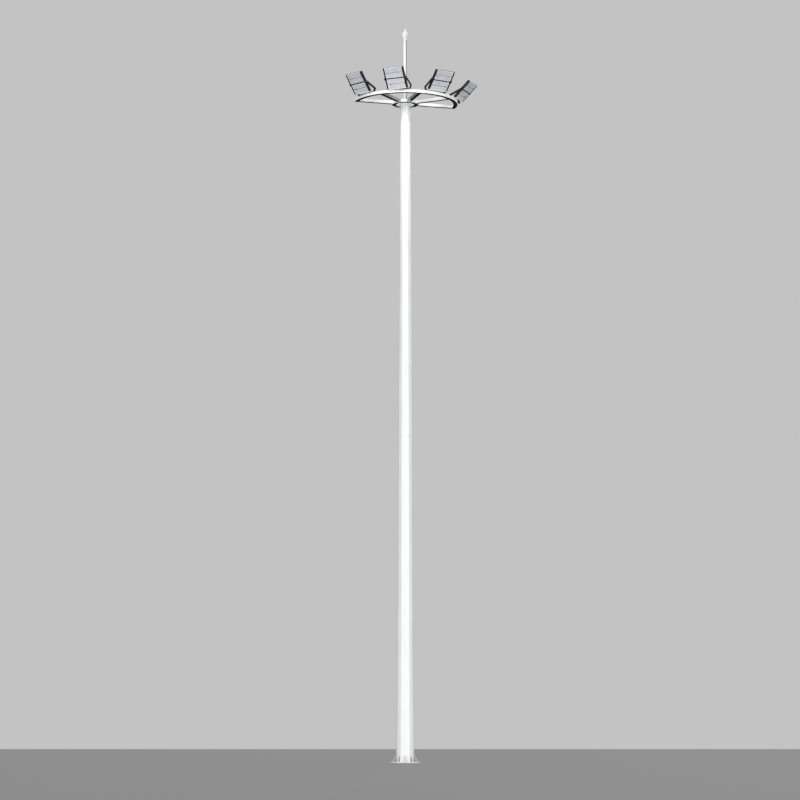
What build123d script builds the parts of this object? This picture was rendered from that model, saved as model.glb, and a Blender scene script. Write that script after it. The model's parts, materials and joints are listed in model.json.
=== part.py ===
"""High mast floodlight tower.

A twelve-sided tapering steel mast stands on a ribbed base flange. A half-ring head frame
round its top carries four floodlights on swivelling yokes, and a square lightning rod with a
spearhead finial stands above it.

Millimetres. Origin at the centre of the base flange's underside, +Z up. The floodlights
are spread about the -Y side.
"""
import os
from math import atan2, cos, degrees, hypot, radians

from build123d import *

# ---- mast ----
POLE_SIDES = 12
POLE_BASE_CORNERS = 482.0        # across corners, at the flange
POLE_TOP_CORNERS = 276.0         # across corners, at the top
POLE_TOP_Z = 18040.0
LOWER_TOP_Z = 9500.0             # top of the lower section, inside the upper one
SLIP_LENGTH = 720.0              # the upper section slips down over the lower one
LOWER_WALL = 6.0
UPPER_WALL = 5.0
SLIP_GAP = 0.2                   # between the two sections in the slip joint

# ---- base flange and ribs ----
FLANGE_D = 808.0
FLANGE_T = 28.0
RIB_COUNT = 10
RIB_T = 16.0
RIB_OUTER_R = 350.0
RIB_H = 160.0
RIB_TOE_H = 16.0
RIB_TOP_W = 30.0
ANCHOR_PCD = 700.0
ANCHOR_HOLE_R = 18.0
CABLE_ENTRY_R = 45.0
CABLE_ENTRY_Y = 110.0

# ---- head frame: half ring, spokes and hub, all inverted channels ----
HEAD_TURN = -73.3                # direction of the middle of the half ring, from +X
FRAME_H = 80.0
FRAME_WALL = 5.0
RING_OUTER_R = 1440.0
RING_W = 110.0
SPOKE_COUNT = 5
SPOKE_STEP = 45.0
SPOKE_W = 100.0
RING_FIT = 0.2                   # a spoke's end to the ring's curved wall
HUB_CORNER_R = 370.0
HUB_SIDES = 8
HUB_W = 100.0
WEB_T = 10.0
WEB_DROP = 12.0                  # the webs stop this far above the head frame's underside
END_PLATE_T = 5.0

# ---- mast top and lightning rod ----
HEAD_PLATE_D = 600.0
HEAD_PLATE_T = 12.0
ROD_FOOT_D = 180.0
ROD_FOOT_T = 14.0
ROD_SIDE = 63.0
ROD_WALL = 4.0
ROD_LENGTH = 1717.0
SPIGOT_LENGTH = 120.0
SPIGOT_FIT = 0.2
SPEAR_SHOULDER_HALF = 64.7       # half the width across flats, at the widest
SPEAR_SHOULDER_Z = 178.0
SPEAR_WAIST_OUT = 18.0           # waist under the shoulder, beyond the rod's side
SPEAR_WAIST_DROP = 42.0
SPEAR_FLARE_OUT = 9.0            # half way up to the waist, beyond the rod's side
SPEAR_HOLLOW_HALF = 23.3         # half width where the point is hollowed
SPEAR_HOLLOW_RISE = 84.0
SPEAR_LENGTH = 395.0
SPEAR_TIP_HALF = 1.5

# ---- floodlights ----
LAMP_PLACES = (-66.5, -22.5, 19.5, 69.5)    # about the middle of the half ring
LAMP_PANS = (4.0, -19.0, -3.5, -18.0)       # yoke turned from straight outward
LAMP_TILTS = (36.0, 31.0, 42.0, 46.0)       # face tipped down from level
PIVOT_OUT = 300.0                # tilt pivot, outward from the swivel bolt
PIVOT_UP = 260.0                 # tilt pivot, above the ring's top
LAMP_W = 590.0
LAMP_H = 612.0
RAIL_FRONT = 28.0                # rail's front face, ahead of the pivot
RAIL_BACK = 38.0                 # rail's back face, behind the pivot
RAIL_LIP = 42.0
RAIL_WALL = 4.0
RAIL_END_R = 22.0
CROSS_RAIL_H = 18.0
PANEL_GAP = 22.0
MODULE_GAP = 3.0
MODULES_PER_PANEL = 2
PANEL_END = 5.0                  # rails stand past the panels by this much
SINK_PLATE_T = 10.0
FIN_T = 3.0
FIN_COUNT = 20
FIN_DEPTH = 34.0
SIDE_FIT = 0.5                   # module to rail, each way
BEZEL_T = 8.0
BEZEL_W = 9.0
LENS_T = 5.0
LENS_FIT = 0.3
BOX_W = 230.0
BOX_H = 270.0
BOX_D = 56.0
BOX_EDGE_R = 12.0

# ---- yokes, tilt bolts and swivel bolts ----
YOKE_T = 20.0
YOKE_BAR_W = 54.0
YOKE_EYE_R = 32.0
YOKE_KNEE_OUT = -34.0            # knee of the side arm, outward from the swivel bolt
YOKE_KNEE_UP = 112.0             # knee of the side arm, above the ring's top
YOKE_BASE_W = 70.0
YOKE_BASE_T = 10.0
COLLAR_T = 5.0
COLLAR_R = 22.0
TILT_BOLT_R = 8.0
TILT_HEAD_AF = 24.0
TILT_HEAD_T = 10.0
BOLT_FIT = 0.1
TURN_GAP = 0.3                   # between faces that turn on each other
SWIVEL_WASHER_R = 42.0
SWIVEL_WASHER_T = 10.0
SWIVEL_BOLT_R = 10.0
SWIVEL_HEAD_AF = 30.0
SWIVEL_HEAD_T = 12.5
SWIVEL_NUT_T = 16.0

CUT = 1.0                        # how far a cutter passes the face it opens

# ---- worked out from the sizes above ----
HEAD_TOP_Z = POLE_TOP_Z
HEAD_Z = HEAD_TOP_Z - FRAME_H
RING_INNER_R = RING_OUTER_R - RING_W
RING_MID_R = RING_OUTER_R - RING_W / 2
HUB_FLAT_R = HUB_CORNER_R * cos(radians(180 / HUB_SIDES))
HUB_INNER_FLAT_R = HUB_FLAT_R - HUB_W
UPPER_START_Z = LOWER_TOP_Z - SLIP_LENGTH
SECTION_STEP = (SLIP_GAP + UPPER_WALL) / cos(radians(180 / POLE_SIDES))
POLE_TAPER = (POLE_BASE_CORNERS / 2 + SECTION_STEP - POLE_TOP_CORNERS / 2) / (POLE_TOP_Z - FLANGE_T)
PANEL_H = (LAMP_H - 2 * PANEL_END - PANEL_GAP) / 2
MODULE_H = (PANEL_H - (MODULES_PER_PANEL - 1) * MODULE_GAP) / MODULES_PER_PANEL
MODULE_HALF_W = LAMP_W / 2 - RAIL_WALL - SIDE_FIT
BEZEL_FRONT = RAIL_FRONT - RAIL_WALL - SIDE_FIT
SINK_FRONT = BEZEL_FRONT - BEZEL_T


def lower_corner_r(z):
    """Corner radius of the lower section's outside at height z."""
    return POLE_BASE_CORNERS / 2 - POLE_TAPER * (z - FLANGE_T)


def upper_corner_r(z):
    """Corner radius of the upper section's outside at height z."""
    return lower_corner_r(z) + SECTION_STEP


def tapered_solid(corner_r, z0, z1, inset=0.0):
    """Solid twelve-sided taper between two heights, its flats moved in by inset."""
    shrink = inset / cos(radians(180 / POLE_SIDES))
    ends = [Pos(0, 0, z) * RegularPolygon(corner_r(z) - shrink, POLE_SIDES) for z in (z0, z1)]
    return loft([end.face() for end in ends], ruled=True)


def tapered_tube(corner_r, z0, z1, wall):
    """Twelve-sided tapering tube of one wall thickness."""
    return tapered_solid(corner_r, z0, z1) - tapered_solid(corner_r, z0, z1, wall)


def box_between(x, y, z):
    """Box given by its low and high x, y and z."""
    size = Box(x[1] - x[0], y[1] - y[0], z[1] - z[0], align=(Align.MIN, Align.MIN, Align.MIN))
    return Pos(x[0], y[0], z[0]) * size


def plate_in_xz(sketch, y0, y1):
    """Plate of a sketch drawn in x and z, between two y values."""
    face = Plane.XZ * sketch
    return Pos(0, y1, 0) * extrude(face, y1 - y0)


def rod_along_y(radius, y0, y1):
    """Round bar along Y."""
    return plate_in_xz(Circle(radius), y0, y1)


def export(shape, name):
    """Write one named piece."""
    export_step(shape, f"parts/{name}.step")


# ---------------------------------------------------------------- mast

def base_flange():
    """Round plate with the anchor holes and the cable entry."""
    plate = Cylinder(FLANGE_D / 2, FLANGE_T, align=(Align.CENTER, Align.CENTER, Align.MIN))
    hole = Cylinder(ANCHOR_HOLE_R, 3 * FLANGE_T)
    turn = 360 / RIB_COUNT
    for i in range(RIB_COUNT):
        plate -= Rot(0, 0, -90 + turn * (i + 0.5)) * Pos(ANCHOR_PCD / 2, 0, 0) * hole
    return plate - Pos(0, CABLE_ENTRY_Y, 0) * Cylinder(CABLE_ENTRY_R, 3 * FLANGE_T)


def base_ribs():
    """Ribs between the flange and the pole, one of them facing -Y."""
    top_z = FLANGE_T + RIB_H
    outline = [
        (0, FLANGE_T),
        (RIB_OUTER_R, FLANGE_T),
        (RIB_OUTER_R, FLANGE_T + RIB_TOE_H),
        (POLE_BASE_CORNERS / 2 + RIB_TOP_W, top_z),
        (0, top_z),
    ]
    rib = plate_in_xz(make_face(Polyline(*outline, close=True)), -RIB_T / 2, RIB_T / 2)
    pole = tapered_solid(lower_corner_r, FLANGE_T, 2 * top_z)
    ribs = []
    for i in range(RIB_COUNT):
        ribs += (Rot(0, 0, -90 + i * 360 / RIB_COUNT) * rib - pole).solids()
    return Compound(children=ribs)


def pole_lower():
    """Lower section, welded to the flange."""
    return tapered_tube(lower_corner_r, FLANGE_T, LOWER_TOP_Z, LOWER_WALL)


def pole_upper():
    """Upper section, slipped down over the lower one."""
    return tapered_tube(upper_corner_r, UPPER_START_Z, POLE_TOP_Z, UPPER_WALL)


# ---------------------------------------------------------------- head frame

def octagon(flat_r):
    """Octagon whose flats face the spokes."""
    return Rot(0, 0, HEAD_TURN) * RegularPolygon(flat_r, HUB_SIDES, major_radius=False,
                                                 rotation=180 / HUB_SIDES)


def hub():
    """Octagonal collar round the mast top, open underneath."""
    collar = extrude(octagon(HUB_FLAT_R) - octagon(HUB_INNER_FLAT_R), FRAME_H)
    inside = octagon(HUB_FLAT_R - FRAME_WALL) - octagon(HUB_INNER_FLAT_R + FRAME_WALL)
    return Pos(0, 0, HEAD_Z) * (collar - extrude(inside, FRAME_H - FRAME_WALL))


def hub_webs():
    """Radial plates that weld the hub to the mast, one in line with each hub flat."""
    reach = (0, HUB_INNER_FLAT_R)
    web = box_between(reach, (-WEB_T / 2, WEB_T / 2), (HEAD_Z + WEB_DROP, HEAD_TOP_Z))
    pole = tapered_solid(upper_corner_r, HEAD_Z - FRAME_H, POLE_TOP_Z)
    webs = []
    for i in range(HUB_SIDES):
        webs += (Rot(0, 0, HEAD_TURN + i * 360 / HUB_SIDES) * web - pole).solids()
    return Compound(children=webs)


def spokes():
    """Inverted channels from the hub to the half ring."""
    reach = RING_INNER_R - RING_FIT
    half = SPOKE_W / 2
    outer = box_between((HUB_FLAT_R, reach + RING_W), (-half, half), (HEAD_Z, HEAD_TOP_Z))
    inner_half = half - FRAME_WALL
    inner_top = HEAD_TOP_Z - FRAME_WALL
    inside = box_between((0, 2 * reach), (-inner_half, inner_half), (HEAD_Z - CUT, inner_top))
    trim = Pos(0, 0, HEAD_Z) * Cylinder(reach, 4 * FRAME_H)
    spoke = (outer - inside) & trim
    first = HEAD_TURN - (SPOKE_COUNT - 1) / 2 * SPOKE_STEP
    return Compound(children=[Rot(0, 0, first + i * SPOKE_STEP) * spoke for i in range(SPOKE_COUNT)])


def ring_span():
    """Angles at which the half ring starts and how far it turns, flush with the end spokes."""
    overhang = degrees(SPOKE_W / 2 / RING_MID_R)
    spread = (SPOKE_COUNT - 1) * SPOKE_STEP
    return HEAD_TURN - spread / 2 - overhang, spread + 2 * overhang


def half_ring():
    """Rolled channel, open underneath, closed at each end."""
    start, sweep = ring_span()
    closed = degrees(END_PLATE_T / RING_MID_R)
    section = Pos(RING_MID_R, HEAD_Z + FRAME_H / 2) * Rectangle(RING_W, FRAME_H)
    hollow = Pos(RING_MID_R, HEAD_Z + FRAME_H / 2 - FRAME_WALL) * Rectangle(RING_W - 2 * FRAME_WALL, FRAME_H)
    solid = revolve(Plane.XZ * section, Axis.Z, sweep)
    inside = Rot(0, 0, closed) * revolve(Plane.XZ * hollow, Axis.Z, sweep - 2 * closed)
    ring = Rot(0, 0, start) * (solid - inside)
    for i in range(len(LAMP_PLACES)):
        ring -= yoke_place(i) * Cylinder(SWIVEL_BOLT_R, 6 * FRAME_WALL)
    return ring


def head_plate():
    """Round plate that closes the mast's top and ties it to the hub."""
    disc = Cylinder(HEAD_PLATE_D / 2, HEAD_PLATE_T, align=(Align.CENTER, Align.CENTER, Align.MIN))
    return Pos(0, 0, POLE_TOP_Z) * disc


# ---------------------------------------------------------------- lightning rod

ROD_FOOT_Z = POLE_TOP_Z + HEAD_PLATE_T
ROD_Z = ROD_FOOT_Z + ROD_FOOT_T
SPEAR_Z = ROD_Z + ROD_LENGTH


def upright(sketch, z, height):
    """Prism of a sketch, set square to the diagonals of the head frame."""
    return Rot(0, 0, HEAD_TURN + 45) * Pos(0, 0, z) * extrude(sketch, height)


def rod_foot():
    """Round foot with a square spigot inside the rod."""
    spigot_side = ROD_SIDE - 2 * ROD_WALL - 2 * SPIGOT_FIT
    foot = upright(Circle(ROD_FOOT_D / 2), ROD_FOOT_Z, ROD_FOOT_T)
    return foot + upright(Rectangle(spigot_side, spigot_side), ROD_Z, SPIGOT_LENGTH)


def lightning_rod():
    """Square tube."""
    bore = ROD_SIDE - 2 * ROD_WALL
    return upright(Rectangle(ROD_SIDE, ROD_SIDE) - Rectangle(bore, bore), ROD_Z, ROD_LENGTH)


def spearhead():
    """Four-sided spearhead: a flared lower part, a shoulder and a hollow-sided point."""
    foot = (ROD_SIDE / 2, 0)
    flared = (ROD_SIDE / 2 + SPEAR_FLARE_OUT, SPEAR_SHOULDER_Z / 2)
    waist = (ROD_SIDE / 2 + SPEAR_WAIST_OUT, SPEAR_SHOULDER_Z - SPEAR_WAIST_DROP)
    shoulder = (SPEAR_SHOULDER_HALF, SPEAR_SHOULDER_Z)
    hollow = (SPEAR_HOLLOW_HALF, SPEAR_SHOULDER_Z + SPEAR_HOLLOW_RISE)
    point = (SPEAR_TIP_HALF, SPEAR_LENGTH)
    top, bottom = (0, SPEAR_LENGTH), (0, 0)
    edge = [
        ThreePointArc(foot, flared, waist),
        Line(waist, shoulder),
        ThreePointArc(shoulder, hollow, point),
        Line(point, top),
        Line(top, bottom),
        Line(bottom, foot),
    ]
    half = make_face(edge)
    profile = half + mirror(half, Plane.YZ)
    slab = plate_in_xz(profile, -SPEAR_LENGTH, SPEAR_LENGTH)
    return Rot(0, 0, HEAD_TURN + 45) * Pos(0, 0, SPEAR_Z) * (slab & Rot(0, 0, 90) * slab)


# ---------------------------------------------------------------- floodlights

def yoke_place(i):
    """Frame of a yoke: origin on the ring's top at the swivel bolt, x the way it faces."""
    on_ring = Rot(0, 0, HEAD_TURN + LAMP_PLACES[i]) * Pos(RING_MID_R, 0, HEAD_TOP_Z)
    return on_ring * Rot(0, 0, LAMP_PANS[i])


def lamp_place(i):
    """Frame of a lamp: origin at its tilt pivot, x out of its face, z up its rails."""
    return yoke_place(i) * Pos(PIVOT_OUT, 0, PIVOT_UP) * Rot(0, LAMP_TILTS[i], 0)


def both_sides(piece):
    """A piece and its mirror image across the lamp's middle."""
    return [piece, mirror(piece, Plane.XZ)]


def lamp_frame():
    """Two channel rails with rounded ends, joined by the cross rail."""
    depth = RAIL_FRONT + RAIL_BACK
    mid = (RAIL_FRONT - RAIL_BACK) / 2
    half_w = LAMP_W / 2
    outline = Pos(mid, 0) * RectangleRounded(depth, LAMP_H, RAIL_END_R)
    blank = plate_in_xz(outline, half_w - RAIL_LIP, half_w)
    pocket = box_between((-RAIL_BACK + RAIL_WALL, RAIL_FRONT - RAIL_WALL),
                         (half_w - RAIL_LIP - CUT, half_w - RAIL_WALL), (-LAMP_H, LAMP_H))
    rails = both_sides(blank - pocket)
    cross = box_between((-RAIL_BACK, SINK_FRONT), (-half_w + RAIL_WALL, half_w - RAIL_WALL),
                        (-CROSS_RAIL_H / 2, CROSS_RAIL_H / 2))
    return rails[0] + rails[1] + cross


def module_middles():
    """Heights of the module centres along the rails."""
    pitch = MODULE_H + MODULE_GAP
    middles = []
    for side in (-1, 1):
        first = side * (PANEL_GAP / 2 + MODULE_H / 2)
        middles += [first + side * n * pitch for n in range(MODULES_PER_PANEL)]
    return middles


def heat_sinks():
    """Finned plates behind the lenses, one to a module."""
    half = MODULE_HALF_W
    z = (-MODULE_H / 2, MODULE_H / 2)
    back = SINK_FRONT - SINK_PLATE_T
    sink = box_between((back, SINK_FRONT), (-half, half), z)
    fin_span = 2 * (LAMP_W / 2 - RAIL_LIP - 2 * FIN_T)
    for n in range(FIN_COUNT):
        y = -fin_span / 2 + n * (fin_span - FIN_T) / (FIN_COUNT - 1)
        sink += box_between((back - FIN_DEPTH, back), (y, y + FIN_T), z)
    return Compound(children=[Pos(0, 0, m) * sink for m in module_middles()])


def window():
    """Opening in a bezel, clear of the rails' front lips."""
    return 2 * (LAMP_W / 2 - RAIL_LIP - BEZEL_W), MODULE_H - 2 * BEZEL_W


def bezels():
    """White frames on the heat sinks, round the lenses."""
    w, h = window()
    half = MODULE_HALF_W
    x = (SINK_FRONT, BEZEL_FRONT)
    frame = box_between(x, (-half, half), (-MODULE_H / 2, MODULE_H / 2))
    frame -= box_between((x[0] - CUT, x[1] + CUT), (-w / 2, w / 2), (-h / 2, h / 2))
    return Compound(children=[Pos(0, 0, m) * frame for m in module_middles()])


def lenses():
    """Lens plates in the bezels, one to a module."""
    w, h = (size - 2 * LENS_FIT for size in window())
    x = (SINK_FRONT, SINK_FRONT + LENS_T)
    lens = box_between(x, (-w / 2, w / 2), (-h / 2, h / 2))
    return Compound(children=[Pos(0, 0, m) * lens for m in module_middles()])


def driver_box():
    """Driver housing on the back of the cross rail."""
    outline = Plane.YZ * RectangleRounded(BOX_W, BOX_H, BOX_EDGE_R)
    return Pos(-RAIL_BACK - BOX_D, 0, 0) * extrude(outline, BOX_D)


def tilt_bolts():
    """Collar, shank and head on each side rail, through the yoke's eyes."""
    collar_end = LAMP_W / 2 + COLLAR_T
    arm_end = collar_end + 2 * TURN_GAP + YOKE_T
    bolt = rod_along_y(COLLAR_R, LAMP_W / 2, collar_end)
    bolt += rod_along_y(TILT_BOLT_R, collar_end, arm_end)
    head = RegularPolygon(TILT_HEAD_AF / 2, 6, major_radius=False)
    bolt += plate_in_xz(head, arm_end, arm_end + TILT_HEAD_T)
    return Compound(children=both_sides(bolt))


def bar(a, b, width):
    """Flat bar with round ends between two points."""
    run = (b[0] - a[0], b[1] - a[1])
    middle = Pos((a[0] + b[0]) / 2, (a[1] + b[1]) / 2)
    straight = middle * Rot(0, 0, degrees(atan2(run[1], run[0]))) * Rectangle(hypot(*run), width)
    return straight + Pos(*a) * Circle(width / 2) + Pos(*b) * Circle(width / 2)


def yoke():
    """Bent side arms standing on a base bar that turns on the swivel bolt."""
    low = SWIVEL_WASHER_T + TURN_GAP
    pivot = (PIVOT_OUT, PIVOT_UP)
    knee = (YOKE_KNEE_OUT, YOKE_KNEE_UP)
    foot = (0, low + YOKE_BAR_W / 2)
    arm = bar(pivot, knee, YOKE_BAR_W) + bar(knee, foot, YOKE_BAR_W)
    arm += Pos(*pivot) * Circle(YOKE_EYE_R)
    arm -= Pos(*pivot) * Circle(TILT_BOLT_R + BOLT_FIT)
    inner = LAMP_W / 2 + COLLAR_T + TURN_GAP
    arms = both_sides(plate_in_xz(arm, inner, inner + YOKE_T))
    half = YOKE_BASE_W / 2
    base = box_between((-half, half), (-inner - YOKE_T, inner + YOKE_T), (low, low + YOKE_BASE_T))
    base -= Cylinder(SWIVEL_BOLT_R + BOLT_FIT, 4 * low)
    return base + arms[0] + arms[1]


def swivel_bolt():
    """Washer on the ring, bolt through the yoke's base, and nut inside the channel."""
    washer_top = SWIVEL_WASHER_T
    head_z = washer_top + 2 * TURN_GAP + YOKE_BASE_T
    under = -FRAME_WALL
    hexagon = RegularPolygon(SWIVEL_HEAD_AF / 2, 6, major_radius=False)
    bolt = extrude(Circle(SWIVEL_WASHER_R), washer_top)
    bolt += Pos(0, 0, washer_top) * extrude(Circle(SWIVEL_BOLT_R), head_z - washer_top)
    bolt += Pos(0, 0, head_z) * extrude(hexagon, SWIVEL_HEAD_T)
    nut = Pos(0, 0, under - SWIVEL_NUT_T) * extrude(hexagon, SWIVEL_NUT_T)
    shank = Pos(0, 0, under) * extrude(Circle(SWIVEL_BOLT_R), -under)
    return bolt + shank + nut


# ---------------------------------------------------------------- all pieces

def build():
    """Write every piece."""
    os.makedirs("parts", exist_ok=True)
    export(base_flange(), "base_flange")
    export(base_ribs(), "base_ribs")
    export(pole_lower(), "pole_lower")
    export(pole_upper(), "pole_upper")
    export(hub(), "hub")
    export(hub_webs(), "hub_webs")
    export(spokes(), "spokes")
    export(half_ring(), "half_ring")
    export(head_plate(), "head_plate")
    export(rod_foot(), "rod_foot")
    export(lightning_rod(), "lightning_rod")
    export(spearhead(), "spearhead")
    bolts = [yoke_place(i) * swivel_bolt() for i in range(len(LAMP_PLACES))]
    export(Compound(children=bolts), "swivel_bolts")
    makers = {
        "lamp_frame": lamp_frame(),
        "heat_sinks": heat_sinks(),
        "bezels": bezels(),
        "lenses": lenses(),
        "driver_box": driver_box(),
        "tilt_bolts": tilt_bolts(),
    }
    yoke_piece = yoke()
    for i in range(len(LAMP_PLACES)):
        export(yoke_place(i) * yoke_piece, f"yoke_{i + 1}")
        for name, piece in makers.items():
            export(lamp_place(i) * piece, f"{name}_{i + 1}")


build()
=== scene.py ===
# %% [markdown]
# # A high mast floodlight tower
#
# The real tower is a tapered steel mast, about eighteen metres tall, with a half ring of
# channel steel round its top. Four floodlights stand on the ring, each on a yoke that swivels
# and tilts, and a square rod with a spearhead rises above them to take lightning.
#
# The steelwork arrives already measured and solid, and it doesn't move or change here. This
# lesson gives it what makes it look built: weld beads, bolts, lens optics, cast driver cases,
# and the paint, powder coat and zinc that the parts are finished in. Lengths are in metres.

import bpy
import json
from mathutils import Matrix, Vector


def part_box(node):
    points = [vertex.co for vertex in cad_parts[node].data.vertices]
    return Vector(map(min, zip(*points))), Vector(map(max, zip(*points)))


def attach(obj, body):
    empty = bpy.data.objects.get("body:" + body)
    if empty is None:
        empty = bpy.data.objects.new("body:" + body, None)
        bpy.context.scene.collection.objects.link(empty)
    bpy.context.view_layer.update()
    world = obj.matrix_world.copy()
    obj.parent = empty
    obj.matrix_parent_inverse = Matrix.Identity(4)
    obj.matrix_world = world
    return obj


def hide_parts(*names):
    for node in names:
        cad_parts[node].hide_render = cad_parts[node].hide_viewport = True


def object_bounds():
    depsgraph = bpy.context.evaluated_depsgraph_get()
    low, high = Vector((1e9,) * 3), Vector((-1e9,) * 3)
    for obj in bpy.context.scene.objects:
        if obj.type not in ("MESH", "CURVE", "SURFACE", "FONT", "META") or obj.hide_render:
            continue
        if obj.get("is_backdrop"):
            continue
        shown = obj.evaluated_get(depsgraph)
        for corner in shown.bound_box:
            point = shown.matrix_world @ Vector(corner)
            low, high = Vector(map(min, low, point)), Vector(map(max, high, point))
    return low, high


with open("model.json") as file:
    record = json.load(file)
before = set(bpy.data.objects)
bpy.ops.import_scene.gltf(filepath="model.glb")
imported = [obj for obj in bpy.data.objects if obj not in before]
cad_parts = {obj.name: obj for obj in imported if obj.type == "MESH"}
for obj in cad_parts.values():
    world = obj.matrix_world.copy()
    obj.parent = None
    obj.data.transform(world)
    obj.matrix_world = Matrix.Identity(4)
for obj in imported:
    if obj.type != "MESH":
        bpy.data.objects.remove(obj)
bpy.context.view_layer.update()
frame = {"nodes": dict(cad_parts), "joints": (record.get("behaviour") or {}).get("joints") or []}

# %% [markdown]
# ## Tools for working as by hand
#
# Blender's operators act on whatever is selected, and everything arrives selected. So the
# first helper clears the selection. The next ones select corners, edges or faces by where
# they are, because a script can't click on them. Each takes a small test, such as "does this
# face look up?", and the questions that the tests ask most often have helpers of their own.
# NEARLY is how near counts as the same place, and SQUARE_ON how squarely a face has to look
# along an axis.

# %% Select by place
import bmesh
import bpy
import json
from math import atan2, ceil, cos, degrees, hypot, pi, radians, sin, tan
from mathutils import Matrix, Vector

X, Y, Z = range(3)
NEARLY = 1e-5
SQUARE_ON = 0.9


def clear_selection():
    """Leave nothing selected."""
    bpy.ops.object.select_all(action="DESELECT")


def edit(on):
    """Go into edit mode, or back to object mode."""
    bpy.ops.object.mode_set(mode="EDIT" if on else "OBJECT")


def whole_piece():
    """In edit mode, select everything."""
    bpy.ops.mesh.select_all(action="SELECT")


def pick(kind, test):
    """In edit mode, select only the VERT, EDGE or FACE parts that pass the test."""
    mesh = bmesh.from_edit_mesh(bpy.context.edit_object.data)
    kinds = {"VERT": mesh.verts, "EDGE": mesh.edges, "FACE": mesh.faces}
    bpy.context.tool_settings.mesh_select_mode = [name == kind for name in kinds]
    mesh.select_mode = {kind}
    for group in kinds.values():
        for part in group:
            part.select_set(False)
    for part in filter(test, kinds[kind]):
        part.select_set(True)
    mesh.select_flush_mode()
    bmesh.update_edit_mesh(bpy.context.edit_object.data)


def middle(part):
    """The middle of an edge or face."""
    return sum((corner.co for corner in part.verts), Vector()) / len(part.verts)


def least(part, axis):
    """The least place that any corner of an edge or face has along an axis."""
    return min(corner.co[axis] for corner in part.verts)


def runs_along(edge, axis):
    """Whether an edge runs along an axis at all."""
    start, end = edge.verts
    return abs(start.co[axis] - end.co[axis]) > NEARLY


def looks_up(face):
    """Whether a face looks up the z axis."""
    return face.normal.z > SQUARE_ON


clear_selection()
print("Selection cleared;", len(frame["nodes"]), "steel parts are loaded")

# %% [markdown]
# A primitive is where each new piece starts. These helpers add one at its size, with its
# place already in its mesh, so that a bevel set in metres stays even on every side. The last
# ones shape it: bevels, extrusions, a drawing in towards the axis, and smooth shading.

# %% Start from a primitive
def settle():
    """Write the active object's place, turn and scale into its mesh."""
    bpy.ops.object.transform_apply(location=True, rotation=True, scale=True)
    return bpy.context.active_object


def block(low, high):
    """A box between two corners."""
    clear_selection()
    low, high = Vector(low), Vector(high)
    bpy.ops.mesh.primitive_cube_add(size=1, location=(low + high) / 2)
    bpy.context.active_object.scale = high - low
    return settle()


def bar(radius, z_low, z_high, sides=16):
    """A round or many-sided bar standing on the z axis."""
    clear_selection()
    bpy.ops.mesh.primitive_cylinder_add(vertices=sides, radius=radius, depth=z_high - z_low,
                                        location=(0, 0, (z_low + z_high) / 2))
    return settle()


def round_edges(width, test, segments=2):
    """In edit mode, bevel the edges that pass the test."""
    pick("EDGE", test)
    bpy.ops.mesh.bevel(offset=width, segments=segments, affect="EDGES")


def round_rim(width, top, segments=2):
    """In edit mode, bevel the edges round a bar's top, which lies at a known height."""
    round_edges(width, lambda edge: least(edge, Z) > top - NEARLY, segments)


def extrude(rise):
    """In edit mode, extrude what is selected along z."""
    bpy.ops.mesh.extrude_region_move(TRANSFORM_OT_translate={"value": (0, 0, rise)})


def draw_in(share):
    """In edit mode, draw what is selected in towards its middle, level with the ground."""
    bpy.ops.transform.resize(value=(share, share, 1))


def smooth(piece, angle=40):
    """Shade curved faces smooth and leave corners sharper than the angle crisp."""
    clear_selection()
    piece.select_set(True)
    bpy.context.view_layer.objects.active = piece
    bpy.ops.object.shade_smooth_by_angle(angle=radians(angle))
    return piece


print("Primitives are ready: block and bar")

# %% [markdown]
# What repeats on the real tower is made once here too, then copied. A place is a 4 x 4
# matrix. `standing` makes one whose z axis points where a bolt or a bead should point. Each
# copy keeps a mesh of its own, and `as_one` joins copies into a single named piece.

# %% Copy, place and join
def standing(place, up, along=(0, 0, 1)):
    """A place whose z points along up, and whose x lies as near to along as it can."""
    up = Vector(up).normalized()
    along = Vector(along) - up * up.dot(Vector(along))
    if along.length < NEARLY:
        along = up.orthogonal()
    x = along.normalized()
    turn = Matrix((x, up.cross(x), up)).transposed()
    return Matrix.Translation(place) @ turn.to_4x4()


def copies(model, places):
    """Copies of a model with their own meshes, one at each place."""
    made = []
    for place in places:
        copy = model.copy()
        copy.data = model.data.copy()
        bpy.context.collection.objects.link(copy)
        copy.matrix_world = place
        made.append(copy)
    return made


def as_one(parts, name):
    """Join parts into one piece at the origin, under a name."""
    clear_selection()
    for part in parts:
        part.select_set(True)
    bpy.context.view_layer.objects.active = parts[0]
    if len(parts) > 1:
        bpy.ops.object.join()
    piece = settle()
    piece.name = piece.data.name = name
    return piece


def repeat(model, places, name):
    """Copy a model to each place, join the copies, and put the model away."""
    piece = as_one(copies(model, places), name)
    bpy.data.objects.remove(model)
    return piece


print("Copying tools are ready")

# %% [markdown]
# A material can be named before it is mixed. Naming them first lets each piece take its
# finish while it is being made, when the faces that differ are easy to select. What goes
# into each finish comes after the modelling.

# %% Name the finishes
FINISHES = ("white_paint", "rib_paint", "head_paint", "rod_paint", "spear_paint",
            "black_powder", "black_anodised", "matt_housing", "white_bezel", "module_bar",
            "lens_plate", "lens_optic", "zinc")
materials = {name: bpy.data.materials.new(name) for name in FINISHES}


def coat(piece, *names):
    """Give a piece its finishes; the first one covers it."""
    piece.data.materials.clear()
    for name in names:
        piece.data.materials.append(materials[name])
    return piece


def report(piece, more=""):
    """Print how many faces a piece has."""
    print(f"{piece.name}: {len(piece.data.polygons)} faces{more}")


print("Finishes named:", ", ".join(materials))

# %% [markdown]
# ## Measuring the steelwork
#
# What is added has to sit on the steel, so the direction of the half ring, the radii of the
# ring and hub, and the mast's taper are read from the steel parts' own corner points. Only a
# few widths that don't stand out among those points, such as a spoke's, are written down.

# %% Measure the mast
SAME_LEVEL = 0.002


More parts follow.
